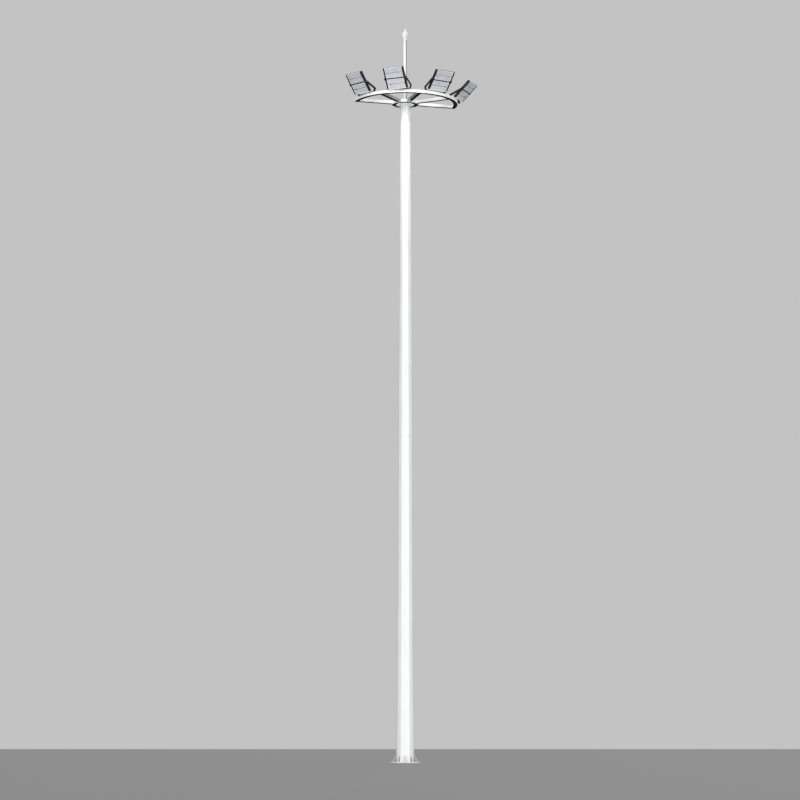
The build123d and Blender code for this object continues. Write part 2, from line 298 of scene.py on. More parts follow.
def corners(node):
    """Every corner point of a steel part."""
    return [vertex.co for vertex in frame["nodes"][node].data.vertices]


def reach_at(node, z):
    """How far a steel part's corners reach from the axis at one height."""
    return max(hypot(p.x, p.y) for p in corners(node) if abs(p.z - z) < SAME_LEVEL)


def measure_section(node):
    """A mast section's ends: heights and corner radii."""
    low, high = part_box(node)
    return low.z, reach_at(node, low.z), high.z, reach_at(node, high.z)


SIDES = 12
FLAT_TURNS = [radians(15 + 30 * side) for side in range(SIDES)]
FLAT_SHARE = cos(pi / SIDES)
GLANCING = 0.1
sections = {node: measure_section(node) for node in ("pole_lower", "pole_upper")}


def corner_reach(node, z):
    """Corner radius of a mast section at a height."""
    z0, r0, z1, r1 = sections[node]
    return r0 + (r1 - r0) * (z - z0) / (z1 - z0)


def wall_reach(node, z, turn, aside=0.0):
    """How far the twelve-sided mast reaches in a direction, measured a little to one side."""
    flat = corner_reach(node, z) * FLAT_SHARE
    found = []
    for flat_turn in FLAT_TURNS:
        lean = flat_turn - turn
        if cos(lean) > GLANCING:
            found.append((flat - aside * sin(lean)) / cos(lean))
    return min(found)


for node, (z0, r0, z1, r1) in sections.items():
    print(f"{node}: corners {r0:.4f} m out at {z0:.2f} m, {r1:.4f} m out at {z1:.2f} m")

# %% Measure the head frame
towards = sum(corners("spokes"), Vector())
HEAD_TURN = atan2(towards.y, towards.x)
WALL = 0.005
SPOKE_STEP = pi / 4
SPOKE_HALF = 0.050
HUB_WIDTH = 0.100
head_low, head_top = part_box("half_ring")[0].z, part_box("half_ring")[1].z
ring_reaches = [hypot(p.x, p.y) for p in corners("half_ring")]
ring_inner, ring_outer = min(ring_reaches), max(ring_reaches)
hub_outer = max(p.x * cos(HEAD_TURN) + p.y * sin(HEAD_TURN) for p in corners("hub"))
hub_inner = hub_outer - HUB_WIDTH
print(f"The half ring faces {degrees(HEAD_TURN):.1f} degrees")
print(f"Its radii are {ring_inner:.3f} and {ring_outer:.3f} m")
print(f"The hub's flats lie {hub_inner:.4f} and {hub_outer:.4f} m out")

# %% [markdown]
# Each lamp has a frame of its own: the origin on its tilt bolt, x straight out of the lenses,
# y along the bolt and z up the rails. Its yoke has one too, on the ring under the swivel
# bolt. The joints in the record say where the bolts are. At the low end of its range a lamp's
# face looks five degrees below level, so the tilt at rest follows from the range.

# %% Measure the lamps
LAMPS = (1, 2, 3, 4)
LEVELLEST = 5
UP = Vector((0, 0, 1))
joints = {joint["name"]: joint for joint in frame["joints"]}


def joint_place(name):
    """Where a joint's axis passes, at rest."""
    return Vector(joints[name]["pos_m"])


def yoke_frame(n):
    """Frame of a yoke: origin on the ring's top, x the way it faces."""
    swivel, pivot = joint_place(f"yoke_{n}_swivel"), joint_place(f"lamp_{n}_tilt")
    out = pivot - swivel
    out.z = 0
    return standing((swivel.x, swivel.y, head_top), UP, out)


def lamp_frame(n):
    """Frame of a lamp: origin at its tilt bolt, x out of its face, z up its rails."""
    tilt = joints[f"lamp_{n}_tilt"]
    down = radians(LEVELLEST - tilt["range_deg"][0])
    turned = Matrix.Rotation(down, 4, "Y")
    return Matrix.Translation(tilt["pos_m"]) @ yoke_frame(n).to_3x3().to_4x4() @ turned


def in_frame(node, place):
    """A steel part's corner points in another frame."""
    inside = place.inverted()
    return [inside @ p for p in corners(node)]


def span(points):
    """Lowest and highest corner of some points."""
    return [Vector(map(f, *points)) for f in (min, max)]


own = {name: span(in_frame(f"{name}_1", lamp_frame(1)))
       for name in ("lamp_frame", "bezels", "lenses", "driver_box")}
heights = sorted({round(p.z, 4) for p in in_frame("lenses_1", lamp_frame(1))})
windows = list(zip(heights[::2], heights[1::2]))
for name, (low, high) in own.items():
    print(name, *([round(v * 1000, 1) for v in end] for end in (low, high)), "mm")
print("Lens windows up the rails:", windows)

# %% [markdown]
# ## Weld beads
#
# A mast like this is welded nearly everywhere that plates meet: round its foot, down both
# sides of each rib, and at each end of the spokes. A bead could be a plain swept tube, but a
# real one shows the ripple of each pause of the torch. So a thin bar is cut into short
# lengths, every second ring is drawn in a little and the two ends much more, and a little
# seeded unevenness is added. Half of the bar lies inside the steel, and the half that shows
# is the bead. Thick plates take thick beads.

# %% Model a bead
RIPPLE = 0.007
VALLEY, TIP = 0.82, 0.55
UNEVEN = 0.07
BEAD_SIDES = 8
BEAD_ANGLE = 80
FEWEST_CUTS = 3
BEADS = {"flange": 0.0055, "rib": 0.005, "foot": 0.006, "spoke_side": 0.0045,
         "spoke_top": 0.0035, "web": 0.004, "head_plate": 0.004, "rod": 0.0028, "yoke": 0.004}


def cut_across(cuts):
    """In edit mode, cut a bar into short lengths."""
    pick("EDGE", lambda edge: runs_along(edge, Z))
    bpy.ops.mesh.subdivide(number_cuts=cuts)


def bead(length, radius):
    """A weld bead along z, middle at the origin."""
    model = bar(radius, -length / 2, length / 2, BEAD_SIDES)
    cuts = max(FEWEST_CUTS, ceil(length / RIPPLE) // 2 * 2 + 1)
    step = length / (cuts + 1)
    edit(True)
    cut_across(cuts)
    pick("VERT", lambda corner: round((corner.co.z + length / 2) / step) % 2 == 0)
    draw_in(VALLEY)
    pick("VERT", lambda corner: abs(corner.co.z) > length / 2 - step / 2)
    draw_in(TIP)
    whole_piece()
    bpy.ops.transform.vertex_random(offset=radius * UNEVEN, seed=7)
    edit(False)
    return smooth(model, BEAD_ANGLE)


trial = bead(0.1, BEADS["rib"])
print("A 100 mm bead has", len(trial.data.polygons), "faces")
bpy.data.objects.remove(trial)

# %% [markdown]
# Places on the mast are easiest to give as a direction, a reach out from the axis and a
# height. Along such a direction a bead or bolt points outward, or lies crosswise.

# %% Places round the mast
def polar(turn, out, aside, z):
    """A point out along a direction and a little to one side of it."""
    return Vector((out * cos(turn) - aside * sin(turn), out * sin(turn) + aside * cos(turn), z))


def outward(turn, out, z, aside=0.0):
    """A place whose z points away from the mast."""
    return standing(polar(turn, out, aside, z), polar(turn, 1, 0, 0))


def crosswise(turn, out, z):
    """A place whose z runs level round the mast."""
    return standing(polar(turn, out, 0, z), polar(turn, 0, 1, 0))


def upright(turn, out, z):
    """A place whose z points up and whose x points away from the mast."""
    return standing(polar(turn, out, 0, z), UP, polar(turn, 1, 0, 0))


def levels(node):
    """The lowest and highest level of a steel part."""
    return [end.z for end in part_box(node)]


print("Places: outward, crosswise and upright")

# %% Weld the foot
RIBS = 10
RIB_HALF = 0.008
BOTH_SIDES = (-1, 1)
rib_turns = [radians(-90 + 360 / RIBS * rib) for rib in range(RIBS)]
flange_top = levels("base_flange")[1]
rib_low, rib_top = levels("base_ribs")
rib_outer = -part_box("base_ribs")[0].y
rib_run = rib_outer - corner_reach("pole_lower", flange_top)
along_flange = [outward(turn, rib_outer - rib_run / 2, flange_top, side * RIB_HALF)
                for turn in rib_turns for side in BOTH_SIDES]
flange_beads = repeat(bead(rib_run, BEADS["flange"]), along_flange, "flange_beads")


def up_wall(turn, aside):
    """Place of an upright bead in the corner between a rib and the mast."""
    foot, top = (polar(turn, wall_reach("pole_lower", z, turn, aside), aside, z)
                 for z in (rib_low, rib_top))
    return standing((foot + top) / 2, top - foot)


up_ribs = [up_wall(turn, side * RIB_HALF) for turn in rib_turns for side in BOTH_SIDES]
rib_beads = repeat(bead(rib_top - rib_low, BEADS["rib"]), up_ribs, "rib_beads")


def facet_beads(node, z, radius, name):
    """Beads along the foot of each of the mast's twelve flats, at one height."""
    corner = corner_reach(node, z)
    places = [crosswise(turn, corner * FLAT_SHARE, z) for turn in FLAT_TURNS]
    return repeat(bead(2 * corner * sin(pi / SIDES), radius), places, name)


foot_beads = facet_beads("pole_lower", flange_top, BEADS["foot"], "foot_beads")
base_welds = coat(as_one([flange_beads, rib_beads, foot_beads], "base_welds"), "white_paint")
report(base_welds)

# %% [markdown]
# At the head, beads run up the ends of the spokes, where they meet the hub and the half ring,
# across their tops, and up both ends of the eight webs between the hub and the mast. The
# round plate on the mast's top is welded to it underneath, and the rod to its foot and to the
# spearhead.

# %% Weld the head
WEBS, WEB_HALF = 8, 0.005
spoke_turns = [HEAD_TURN + SPOKE_STEP * spoke for spoke in (-2, -1, 0, 1, 2)]
web_turns = [HEAD_TURN + SPOKE_STEP * web for web in range(WEBS)]
ring_face = (ring_inner ** 2 - SPOKE_HALF ** 2) ** 0.5
spoke_ends = (hub_outer, ring_face)
side_places = [standing(polar(turn, out, side * SPOKE_HALF, (head_low + head_top) / 2), UP)
               for turn in spoke_turns for out in spoke_ends for side in BOTH_SIDES]
side_beads = repeat(bead(head_top - head_low, BEADS["spoke_side"]), side_places, "side_beads")
top_places = [crosswise(turn, out, head_top) for turn in spoke_turns for out in spoke_ends]
top_beads = repeat(bead(2 * SPOKE_HALF, BEADS["spoke_top"]), top_places, "top_beads")
web_low, web_top = levels("hub_webs")
web_middle = (web_low + web_top) / 2
web_places = [standing(polar(turn, out, side, web_middle), UP)
              for turn in web_turns for side in (-WEB_HALF, WEB_HALF)
              for out in (wall_reach("pole_upper", web_middle, turn, side), hub_inner)]
web_beads = repeat(bead(web_top - web_low, BEADS["web"]), web_places, "web_beads")
plate_beads = facet_beads("pole_upper", head_top, BEADS["head_plate"], "plate_beads")
head_welds = as_one([side_beads, top_beads, web_beads, plate_beads], "head_welds")
report(coat(head_welds, "white_paint"))

# %% Weld the rod
ROD_HALF = 0.0315
rod_low, rod_top = levels("lightning_rod")
rod_turns = [HEAD_TURN + pi / 4 + pi / 2 * face for face in range(4)]
rod_places = [crosswise(turn, ROD_HALF, z) for turn in rod_turns for z in (rod_low, rod_top)]
rod_welds = repeat(bead(2 * ROD_HALF, BEADS["rod"]), rod_places, "rod_welds")
report(coat(rod_welds, "white_paint"))

# %% [markdown]
# Each mast section is one plate, pressed into a twelve-sided tube and closed by a single long
# weld, which makers keep in the middle of one flat. It runs up the back here, away from the
# lamps. A machine lays it, so it has no ripple: the bar is cut, pressed flat until it stands
# two millimetres proud, and made just a little uneven.

# %% Run the long seams
SEAM_TURN = radians(75)
SEAM_R, SEAM_PRESS = 0.0045, 0.45
SEAM_STEP, SEAM_UNEVEN = 0.03, 0.0004
SEAM_LAP = 0.02


def seam(node, z_low, z_high, name):
    """A long seam up the middle of one flat of a mast section."""
    foot, top = (polar(SEAM_TURN, corner_reach(node, z) * FLAT_SHARE, 0, z)
                 for z in (z_low, z_high))
    rise = top - foot
    model = bar(SEAM_R, -rise.length / 2, rise.length / 2, BEAD_SIDES)
    edit(True)
    cut_across(int(rise.length / SEAM_STEP))
    whole_piece()
    bpy.ops.transform.resize(value=(SEAM_PRESS, 1, 1))
    bpy.ops.transform.vertex_random(offset=SEAM_UNEVEN, seed=3)
    edit(False)
    place = standing((foot + top) / 2, rise, polar(SEAM_TURN, 1, 0, 0))
    return repeat(smooth(model, BEAD_ANGLE), [place], name)


joint_z, _, mast_top, _ = sections["pole_upper"]
lower_seam = seam("pole_lower", flange_top, joint_z + SEAM_LAP, "lower_seam")
upper_seam = seam("pole_upper", joint_z, mast_top, "upper_seam")
pole_seams = coat(as_one([lower_seam, upper_seam], "pole_seams"), "white_paint")
report(pole_seams)

# %% [markdown]
# ## Bolts
#
# The steel parts already carry the big swivel and tilt bolts. The plate on the mast's top,
# the rod's foot and the rod's joint have smaller ones. A hexagon head starts as a six-sided
# bar whose top edges are bevelled and whose top face is inset and pressed in a little. Its
# washer is a flat round bar. The two are joined, and the model is copied to each hole.

# %% Model a hexagon bolt
BOLTS = {"plate": dict(across=0.024, head=0.010, washer=0.0150, thick=0.003),
         "foot": dict(across=0.019, head=0.008, washer=0.0120, thick=0.0025),
         "cross": dict(across=0.013, head=0.0055, washer=0.0085, thick=0.0016),
         "earthing": dict(across=0.017, head=0.008, washer=0.0130, thick=0.0025),
         "clip": dict(across=0.010, head=0.0045, washer=0.0075, thick=0.0012)}
WASHER_EDGE = 0.25
HEAD_EDGE, HEAD_INSET, HEAD_SINK = 0.07, 0.12, 0.06
PLATE_CIRCLE, FOOT_CIRCLE = 0.281, 0.070
CROSS_LOW, CROSS_STEP = 0.045, 0.030


def hex_bolt(across, head, washer, thick):
    """A bolt head on its washer, seat at the origin, pointing up z."""
    disc = bar(washer, 0, thick, sides=20)
    edit(True)
    round_rim(thick * WASHER_EDGE, thick, segments=1)
    edit(False)
    top = thick + head
    hexagon = bar(across / 2 / cos(pi / 6), thick, top, sides=6)
    edit(True)
    round_rim(across * HEAD_EDGE, top, segments=1)
    pick("FACE", looks_up)
    bpy.ops.mesh.inset(thickness=across * HEAD_INSET, depth=-head * HEAD_SINK)
    edit(False)
    return as_one([disc, hexagon], "bolt")


plate_top = levels("head_plate")[1]
between_spokes = [HEAD_TURN + SPOKE_STEP * (bay + 0.5) for bay in range(WEBS)]
bolt_places = {
    "plate": [upright(turn, PLATE_CIRCLE, plate_top) for turn in between_spokes],
    "foot": [upright(turn, FOOT_CIRCLE, rod_low) for turn in rod_turns],
    "cross": [outward(turn, ROD_HALF, rod_low + CROSS_LOW + CROSS_STEP * (face % 2))
              for face, turn in enumerate(rod_turns)]}
head_bolts = as_one([repeat(hex_bolt(**BOLTS[kind]), places, f"{kind}_bolts")
                     for kind, places in bolt_places.items()], "head_bolts")
report(coat(head_bolts, "zinc"), f" on {sum(map(len, bolt_places.values()))} bolts")

# %% [markdown]
# A lightning rod is of no use without a way to earth, so a small round boss with a bolt is
# welded to the back of the mast's foot. It starts as a round bar whose rim is bevelled, with
# a bead round its root made from a torus.

# %% Earthing boss
EARTH_TURN, EARTH_Z = radians(105), 0.34
BOSS_R, BOSS_LENGTH = 0.017, 0.024
BOSS_EDGE, BOSS_BEAD = 0.0015, 0.0035
boss = bar(BOSS_R, 0, BOSS_LENGTH, sides=24)
edit(True)
round_rim(BOSS_EDGE, BOSS_LENGTH)
edit(False)
clear_selection()
bpy.ops.mesh.primitive_torus_add(major_radius=BOSS_R, minor_radius=BOSS_BEAD,
                                 major_segments=28, minor_segments=8)
root = smooth(settle(), BEAD_ANGLE)
boss = as_one([smooth(boss), root], "boss")
boss_reach = wall_reach("pole_lower", EARTH_Z, EARTH_TURN)
boss_foot, boss_end = (outward(EARTH_TURN, boss_reach + rise, EARTH_Z)
                       for rise in (0, BOSS_LENGTH))
earthing_boss = coat(repeat(boss, [boss_foot], "earthing_boss"), "white_paint")
earthing_bolt = repeat(hex_bolt(**BOLTS["earthing"]), [boss_end], "earthing_bolt")
coat(earthing_bolt, "zinc")
report(earthing_boss, f", {boss_reach:.3f} m from the axis")

# %% [markdown]
# ## The lamps' faces
#
# A lamp holds four light modules in two panels. A white frame closes each panel, and between
# its two modules runs a narrow grey bar. Each module's frame starts as a block the size of
# the module. Its front and back are inset together, the insets are widened to the window,
# and bridging those two faces cuts the window through and lines its edge. The rim of the
# window is then bevelled, and the border along the panel's middle is given the grey.

# %% Model the bezels
BORDER = 0.009
BAR_HALF = 0.0108
FINE_EDGE = 0.0012
bezel_low, bezel_high = own["bezels"]
lens_high = own["lenses"][1]
window_half = (windows[0][1] - windows[0][0]) / 2
module_half = window_half + BORDER
centres = [(low + high) / 2 for low, high in windows]
panel_lines = [(centres[0] + centres[1]) / 2, (centres[2] + centres[3]) / 2]


def round_front(width, front, test=lambda edge: True):
    """In edit mode, bevel the edges on a front, which lies at a known x, that pass a test."""
    round_edges(width, lambda edge: least(edge, X) > front - NEARLY and test(edge))


def round_window(edge):
    """Whether an edge lies along the rim of the window, not along the frame's outside."""
    return all(abs(corner.co.y) < lens_high.y + NEARLY for corner in edge.verts)


def module_bezel(centre):
    """Frame of one module, its middle at a height up the rails."""
    model = block((bezel_low.x, bezel_low.y, centre - module_half),
                  (bezel_high.x, bezel_high.y, centre + module_half))
    coat(model, "white_bezel", "module_bar")
    edit(True)
    pick("FACE", lambda face: abs(face.normal.x) > SQUARE_ON)
    bpy.ops.mesh.inset(thickness=BORDER)
    bpy.ops.transform.resize(value=(1, lens_high.y / (bezel_high.y - BORDER), 1))
    bpy.ops.mesh.bridge_edge_loops()
    round_front(FINE_EDGE, bezel_high.x, round_window)
    pick("FACE", lambda face: any(abs(middle(face).z - line) < BAR_HALF
                                  for line in panel_lines))
    bpy.context.object.active_material_index = 1
    bpy.ops.object.material_slot_assign()
    edit(False)
    return model


bezel_frames = as_one([module_bezel(centre) for centre in centres], "bezel_frames")
print("Module middles:", [round(centre, 4) for centre in centres])
report(bezel_frames)

# %% [markdown]
# Every module has three rows of lens optics, small clear domes that each spread the light of
# one diode. A sphere cut in half and pressed flat makes the first one, and its edge is
# extruded down a little as a skirt. An array could stay live, but each dome has to be real
# for anyone who prints or measures the part, so both arrays are applied.

# %% Model the lens optics
ACROSS, ROWS = 12, 3
DOME_R, DOME_PRESS = 0.0165, 0.4
SKIRT, FLARE = 0.0008, 1.06
DOME_LIFT = 0.0006
CENTRE = (0, 0, 0)


def add_array(piece, count, offset):
    """Repeat a piece in a row and make the copies real."""
    row = piece.modifiers.new("row", "ARRAY")
    row.use_relative_offset = False
    row.use_constant_offset = True
    row.count = count
    row.constant_offset_displace = offset
    bpy.context.view_layer.objects.active = piece
    bpy.ops.object.modifier_apply(modifier="row")


clear_selection()
bpy.ops.mesh.primitive_uv_sphere_add(segments=12, ring_count=8, radius=DOME_R)
dome = bpy.context.active_object
edit(True)
whole_piece()
bpy.ops.mesh.bisect(plane_co=CENTRE, plane_no=UP, clear_inner=True)
whole_piece()
bpy.ops.transform.resize(value=(1, 1, DOME_PRESS), center_override=CENTRE)
pick("VERT", lambda corner: corner.co.z < NEARLY)
extrude(-SKIRT)
bpy.ops.transform.resize(value=(FLARE, FLARE, 1), center_override=CENTRE)
edit(False)
smooth(dome)
pitch_y = 2 * lens_high.y / ACROSS
pitch_z = 2 * window_half / ROWS
add_array(dome, ACROSS, (0, pitch_y, 0))
add_array(dome, ROWS, (-pitch_z, 0, 0))
first_y = pitch_y * (ACROSS - 1) / 2
first_z = pitch_z * (ROWS - 1) / 2


def facing(x, y, z):
    """A place whose z points forward, the way a lamp or its yoke faces."""
    return standing((x, y, z), (1, 0, 0))


on_lenses = [facing(lens_high.x + DOME_LIFT, first_y, centre + first_z) for centre in centres]
lens_optics = coat(repeat(dome, on_lenses, "lens_optics"), "lens_optic")
report(lens_optics, f", {ACROSS * ROWS * len(centres)} domes a lamp")

# %% [markdown]
# Small pan-head screws hold each frame to its heat sink, and low ones fix the modules to the
# rails from outside. A screw is a short bar, its top edge bevelled, with a socket made by
# insetting the top face and pressing a second inset down.

# %% Model a pan-head screw
SCREWS = {"bezel": dict(radius=0.0032, height=0.0018),
          "rail": dict(radius=0.0065, height=0.0024),
          "strip": dict(radius=0.0045, height=0.0022),
          "lid": dict(radius=0.0036, height=0.0022, sides=12)}
SCREW_EDGE, SCREW_RIM = 0.35, 0.25
SOCKET_WALL, SOCKET_DEPTH = 0.12, 0.35
BEZEL_SHARES = (-0.94, -0.32, 0.32, 0.94)
CLAMP_HALF = 0.0155
RAIL_SCREW_X, RAIL_SCREW_STEP = -0.004, 0.045
rails_high = own["lamp_frame"][1]


def pan_screw(radius, height, sides=10):
    """A screw head, seat at the origin, pointing up z."""
    model = bar(radius, 0, height, sides)
    edit(True)
    round_rim(height * SCREW_EDGE, height, segments=1)
    pick("FACE", looks_up)
    bpy.ops.mesh.inset(thickness=radius * SCREW_RIM)
    bpy.ops.mesh.inset(thickness=radius * SOCKET_WALL, depth=-height * SOCKET_DEPTH)
    edit(False)
    return model


screw_rows = [centre + side * (window_half + BORDER / 2)
              for centre in centres for side in BOTH_SIDES]
screw_columns = [lens_high.y * share for share in BEZEL_SHARES]
on_bezel = [facing(bezel_high.x, y, z) for z in screw_rows if abs(z) > 2 * CLAMP_HALF
            for y in screw_columns]
bezel_screws = coat(repeat(pan_screw(**SCREWS["bezel"]), on_bezel, "bezel_screws"), "zinc")
beside_rail = [standing((RAIL_SCREW_X, side * rails_high.y, centre + step), (0, side, 0))
               for centre in centres for step in (-RAIL_SCREW_STEP, RAIL_SCREW_STEP)
               for side in BOTH_SIDES]
rail_screws = repeat(pan_screw(**SCREWS["rail"]), beside_rail, "rail_screws")
coat(rail_screws, "black_anodised")
print("bezel_screws:", len(on_bezel), "and rail_screws:", len(beside_rail), "a lamp")

# %% [markdown]
# Where two modules meet, and at the middle bar, a clip on each rail's front clamps the panel
# edges down. Seen from afar they are the small bumps along the rails. A clip is a low block
# with its corners bevelled, a raised pad extruded from its front, and a hexagon screw.

# %% Model the rail clips
CLIP_HALF = Vector((0.019, 0.0175, 0))
CLIP_T, CLIP_LIP, CLIP_PAD = 0.004, 0.0008, 0.002
CLIP_CORNER, CLIP_EDGE, CLIP_RIM = 0.004, 0.0015, 0.005
CLIP_IN = 0.021


def rail_clip():
    """A clip with its back at the origin, pointing up z, long side along x."""
    model = block(-CLIP_HALF, CLIP_HALF + UP * CLIP_T)
    edit(True)
    round_edges(CLIP_CORNER, lambda edge: runs_along(edge, Z), segments=3)
    pick("FACE", looks_up)
    bpy.ops.mesh.inset(thickness=CLIP_EDGE, depth=CLIP_LIP)
    bpy.ops.mesh.inset(thickness=CLIP_RIM)
    extrude(CLIP_PAD)
    edit(False)
    screw = hex_bolt(**BOLTS["clip"])
    screw.data.transform(Matrix.Translation(UP * (CLIP_T + CLIP_LIP + CLIP_PAD)))
    return as_one([model, screw], "clip")


clip_rows = [panel_lines[0], 0, panel_lines[1]]
clip_y = rails_high.y - CLIP_IN
on_rail = [facing(rails_high.x, side * clip_y, z) for z in clip_rows for side in BOTH_SIDES]
rail_clips = coat(repeat(rail_clip(), on_rail, "rail_clips"), "black_anodised")
report(rail_clips, f", {len(on_rail)} clips a lamp")

# %% [markdown]
# The wide gap between the two panels is closed by a clamp bar, which laps over both white
# borders and makes the dark line across the lamp's middle. It is a block with its front edges
# bevelled and a stiffening groove pressed in by two insets, held by three screws.

# %% Model the clamp bar
CLAMP_T, CLAMP_GAP = 0.0035, 0.0005
GROOVE, GROOVE_IN, GROOVE_WALL = 0.0012, 0.006, 0.0015
CLAMP_SCREWS = (-0.16, 0, 0.16)
clamp_y = bezel_high.y - CLAMP_GAP
clamp_front = bezel_high.x + CLAMP_T
strip = block((bezel_high.x, -clamp_y, -CLAMP_HALF), (clamp_front, clamp_y, CLAMP_HALF))
edit(True)
round_front(FINE_EDGE, clamp_front)
pick("FACE", lambda face: least(face, X) > clamp_front - NEARLY)
bpy.ops.mesh.inset(thickness=GROOVE_IN)
bpy.ops.mesh.inset(thickness=GROOVE_WALL, depth=-GROOVE)
edit(False)
in_groove = [facing(clamp_front - GROOVE, y, 0) for y in CLAMP_SCREWS]
strip_screws = repeat(pan_screw(**SCREWS["strip"]), in_groove, "strip_screws")
clamp_bar = coat(as_one([strip, strip_screws], "clamp_bar"), "black_anodised")
report(clamp_bar)

# %% [markdown]
# On the lower panel, near one rail, a small black breather lets the module's air swell and
# shrink without drawing in rain. The two left lamps have it on one side and the two right
# ones on the other, so it is kept apart from the other pieces and placed lamp by lamp.

# %% Model the breather
BREATHER_R, BREATHER_T = 0.0115, 0.0035
BREATHER_STEP, STEP_WALL, HOLLOW_WALL = 0.0012, 0.003, 0.002
BREATHER_SINK = 0.0005
BREATHER_Y = {1: -0.165, 2: -0.165, 3: 0.165, 4: 0.165}
breather = bar(BREATHER_R, 0, BREATHER_T, sides=18)
edit(True)
round_rim(FINE_EDGE, BREATHER_T)
pick("FACE", looks_up)
bpy.ops.mesh.inset(thickness=STEP_WALL, depth=BREATHER_STEP)
bpy.ops.mesh.inset(thickness=HOLLOW_WALL, depth=-BREATHER_STEP)
edit(False)
breather.name = "breather"
report(coat(smooth(breather), "matt_housing"), f", on lamps {list(BREATHER_Y)}")

# %% [markdown]
# ## The driver case
#
# Behind the panels a cast case holds the lamp's driver. Its steel stand-in is a rounded
# block, so this piece replaces it. It starts as the same block. Its four long edges are
# bevelled round. Two cuts mark out the gasket, and the strip between them is drawn in to
# make a groove. One wall of the groove looks back, as the lid does, so both get a narrow
# border. Then only the lid's flat, the one face with more than four corners, is inset and
# pressed in, leaving a rim for its screws, and thin fins are arrayed in the recess.

# %% Model the driver case
CASE_CORNER = 0.012
LID, GASKET_END = 0.010, 0.0125
GASKET_EDGE, GASKET_DEPTH = 0.0002, 0.002
LID_EDGE, LID_RIM = 0.0012, 0.0085
RECESS_WALL, RECESS = 0.0015, 0.004
FINS, FIN_HALF, FIN_EDGE = 13, 0.0015, 0.0008
FIN_SIDE, FIN_END = 0.025, 0.020
FIN_BACK, FIN_ROOT = 0.0005, 0.005
case_low, case_high = own["driver_box"]
case = block(case_low, case_high)
edit(True)
round_edges(CASE_CORNER, lambda edge: runs_along(edge, X), segments=6)
for cut in (LID, GASKET_END):
    whole_piece()
    bpy.ops.mesh.bisect(plane_co=(case_low.x + cut, 0, 0), plane_no=(1, 0, 0))
pick("FACE", lambda face: LID < middle(face).x - case_low.x < GASKET_END)
bpy.ops.mesh.inset(thickness=GASKET_EDGE, depth=-GASKET_DEPTH, use_boundary=True)
pick("FACE", lambda face: face.normal.x < -SQUARE_ON)
bpy.ops.mesh.inset(thickness=LID_EDGE)
pick("FACE", lambda face: face.normal.x < -SQUARE_ON and len(face.verts) > 4)
bpy.ops.mesh.inset(thickness=LID_RIM)
bpy.ops.mesh.inset(thickness=RECESS_WALL, depth=-RECESS)
edit(False)
fin = block((case_low.x + FIN_BACK, -FIN_HALF, case_low.z + FIN_END),
            (case_low.x + FIN_ROOT, FIN_HALF, case_high.z - FIN_END))
edit(True)
round_edges(FIN_EDGE, lambda edge: runs_along(edge, Z)
            and middle(edge).x < case_low.x + 2 * FIN_BACK, segments=1)
edit(False)
fin.data.transform(Matrix.Translation((0, case_low.y + FIN_SIDE, 0)))
fin_pitch = (case_high.y - case_low.y - 2 * FIN_SIDE) / (FINS - 1)
add_array(fin, FINS, (0, fin_pitch, 0))
driver_case = coat(as_one([smooth(case), fin], "driver_case"), "matt_housing")
report(driver_case)

# %% [markdown]
# Six screws hold the lid, and two cable glands close the holes in the case's lower end. A
# gland is a hexagon nut with a rounded cap: the cap grows out of a round bar by extruding its
# top and drawing it in, step by step.

# %% Model the lid screws and glands
LID_SCREW_IN = 0.0065
GLAND_Y = 0.055
NUT_R, NUT_T, NUT_EDGE = 0.013, 0.006, 0.001
CAP_R, CAP_TOP = 0.0095, 0.013
CAP_STEPS = ((0.003, 0.9), (0.002, 0.75), (0.001, 0.6))
lid_y, lid_z = case_high.y - LID_SCREW_IN, case_high.z - LID_SCREW_IN
lid_places = [standing((case_low.x, y, z), (-1, 0, 0))
              for y in (-lid_y, lid_y) for z in (-lid_z, 0, lid_z)]
lid_screws = coat(repeat(pan_screw(**SCREWS["lid"]), lid_places, "lid_screws"), "zinc")


def gland():
    """A cable gland, seat at the origin, pointing up z."""
    nut = bar(NUT_R, 0, NUT_T, sides=6)
    edit(True)
    round_rim(NUT_EDGE, NUT_T, segments=1)
    edit(False)
    cap = bar(CAP_R, NUT_T, CAP_TOP)
    edit(True)
    pick("FACE", looks_up)
    for rise, share in CAP_STEPS:
        extrude(rise)
        draw_in(share)
    edit(False)
    return as_one([smooth(nut), smooth(cap)], "gland")


case_middle = (case_low.x + case_high.x) / 2
gland_places = [standing((case_middle, y, case_low.z), (0, 0, -1)) for y in (-GLAND_Y, GLAND_Y)]
cable_glands = coat(repeat(gland(), gland_places, "cable_glands"), "matt_housing")
print("lid_screws:", len(lid_places), "and cable_glands:", len(gland_places), "a lamp")

# %% [markdown]
# ## On the yokes
#
# A fitter sets each lamp's angle by a small ring of marks round its tilt bolt. The ring is a
# circle extruded inward and then thickened. One mark is spun round in steps of ten degrees.
# The yoke's arms are welded to its base bar, with a bead along each inner foot.

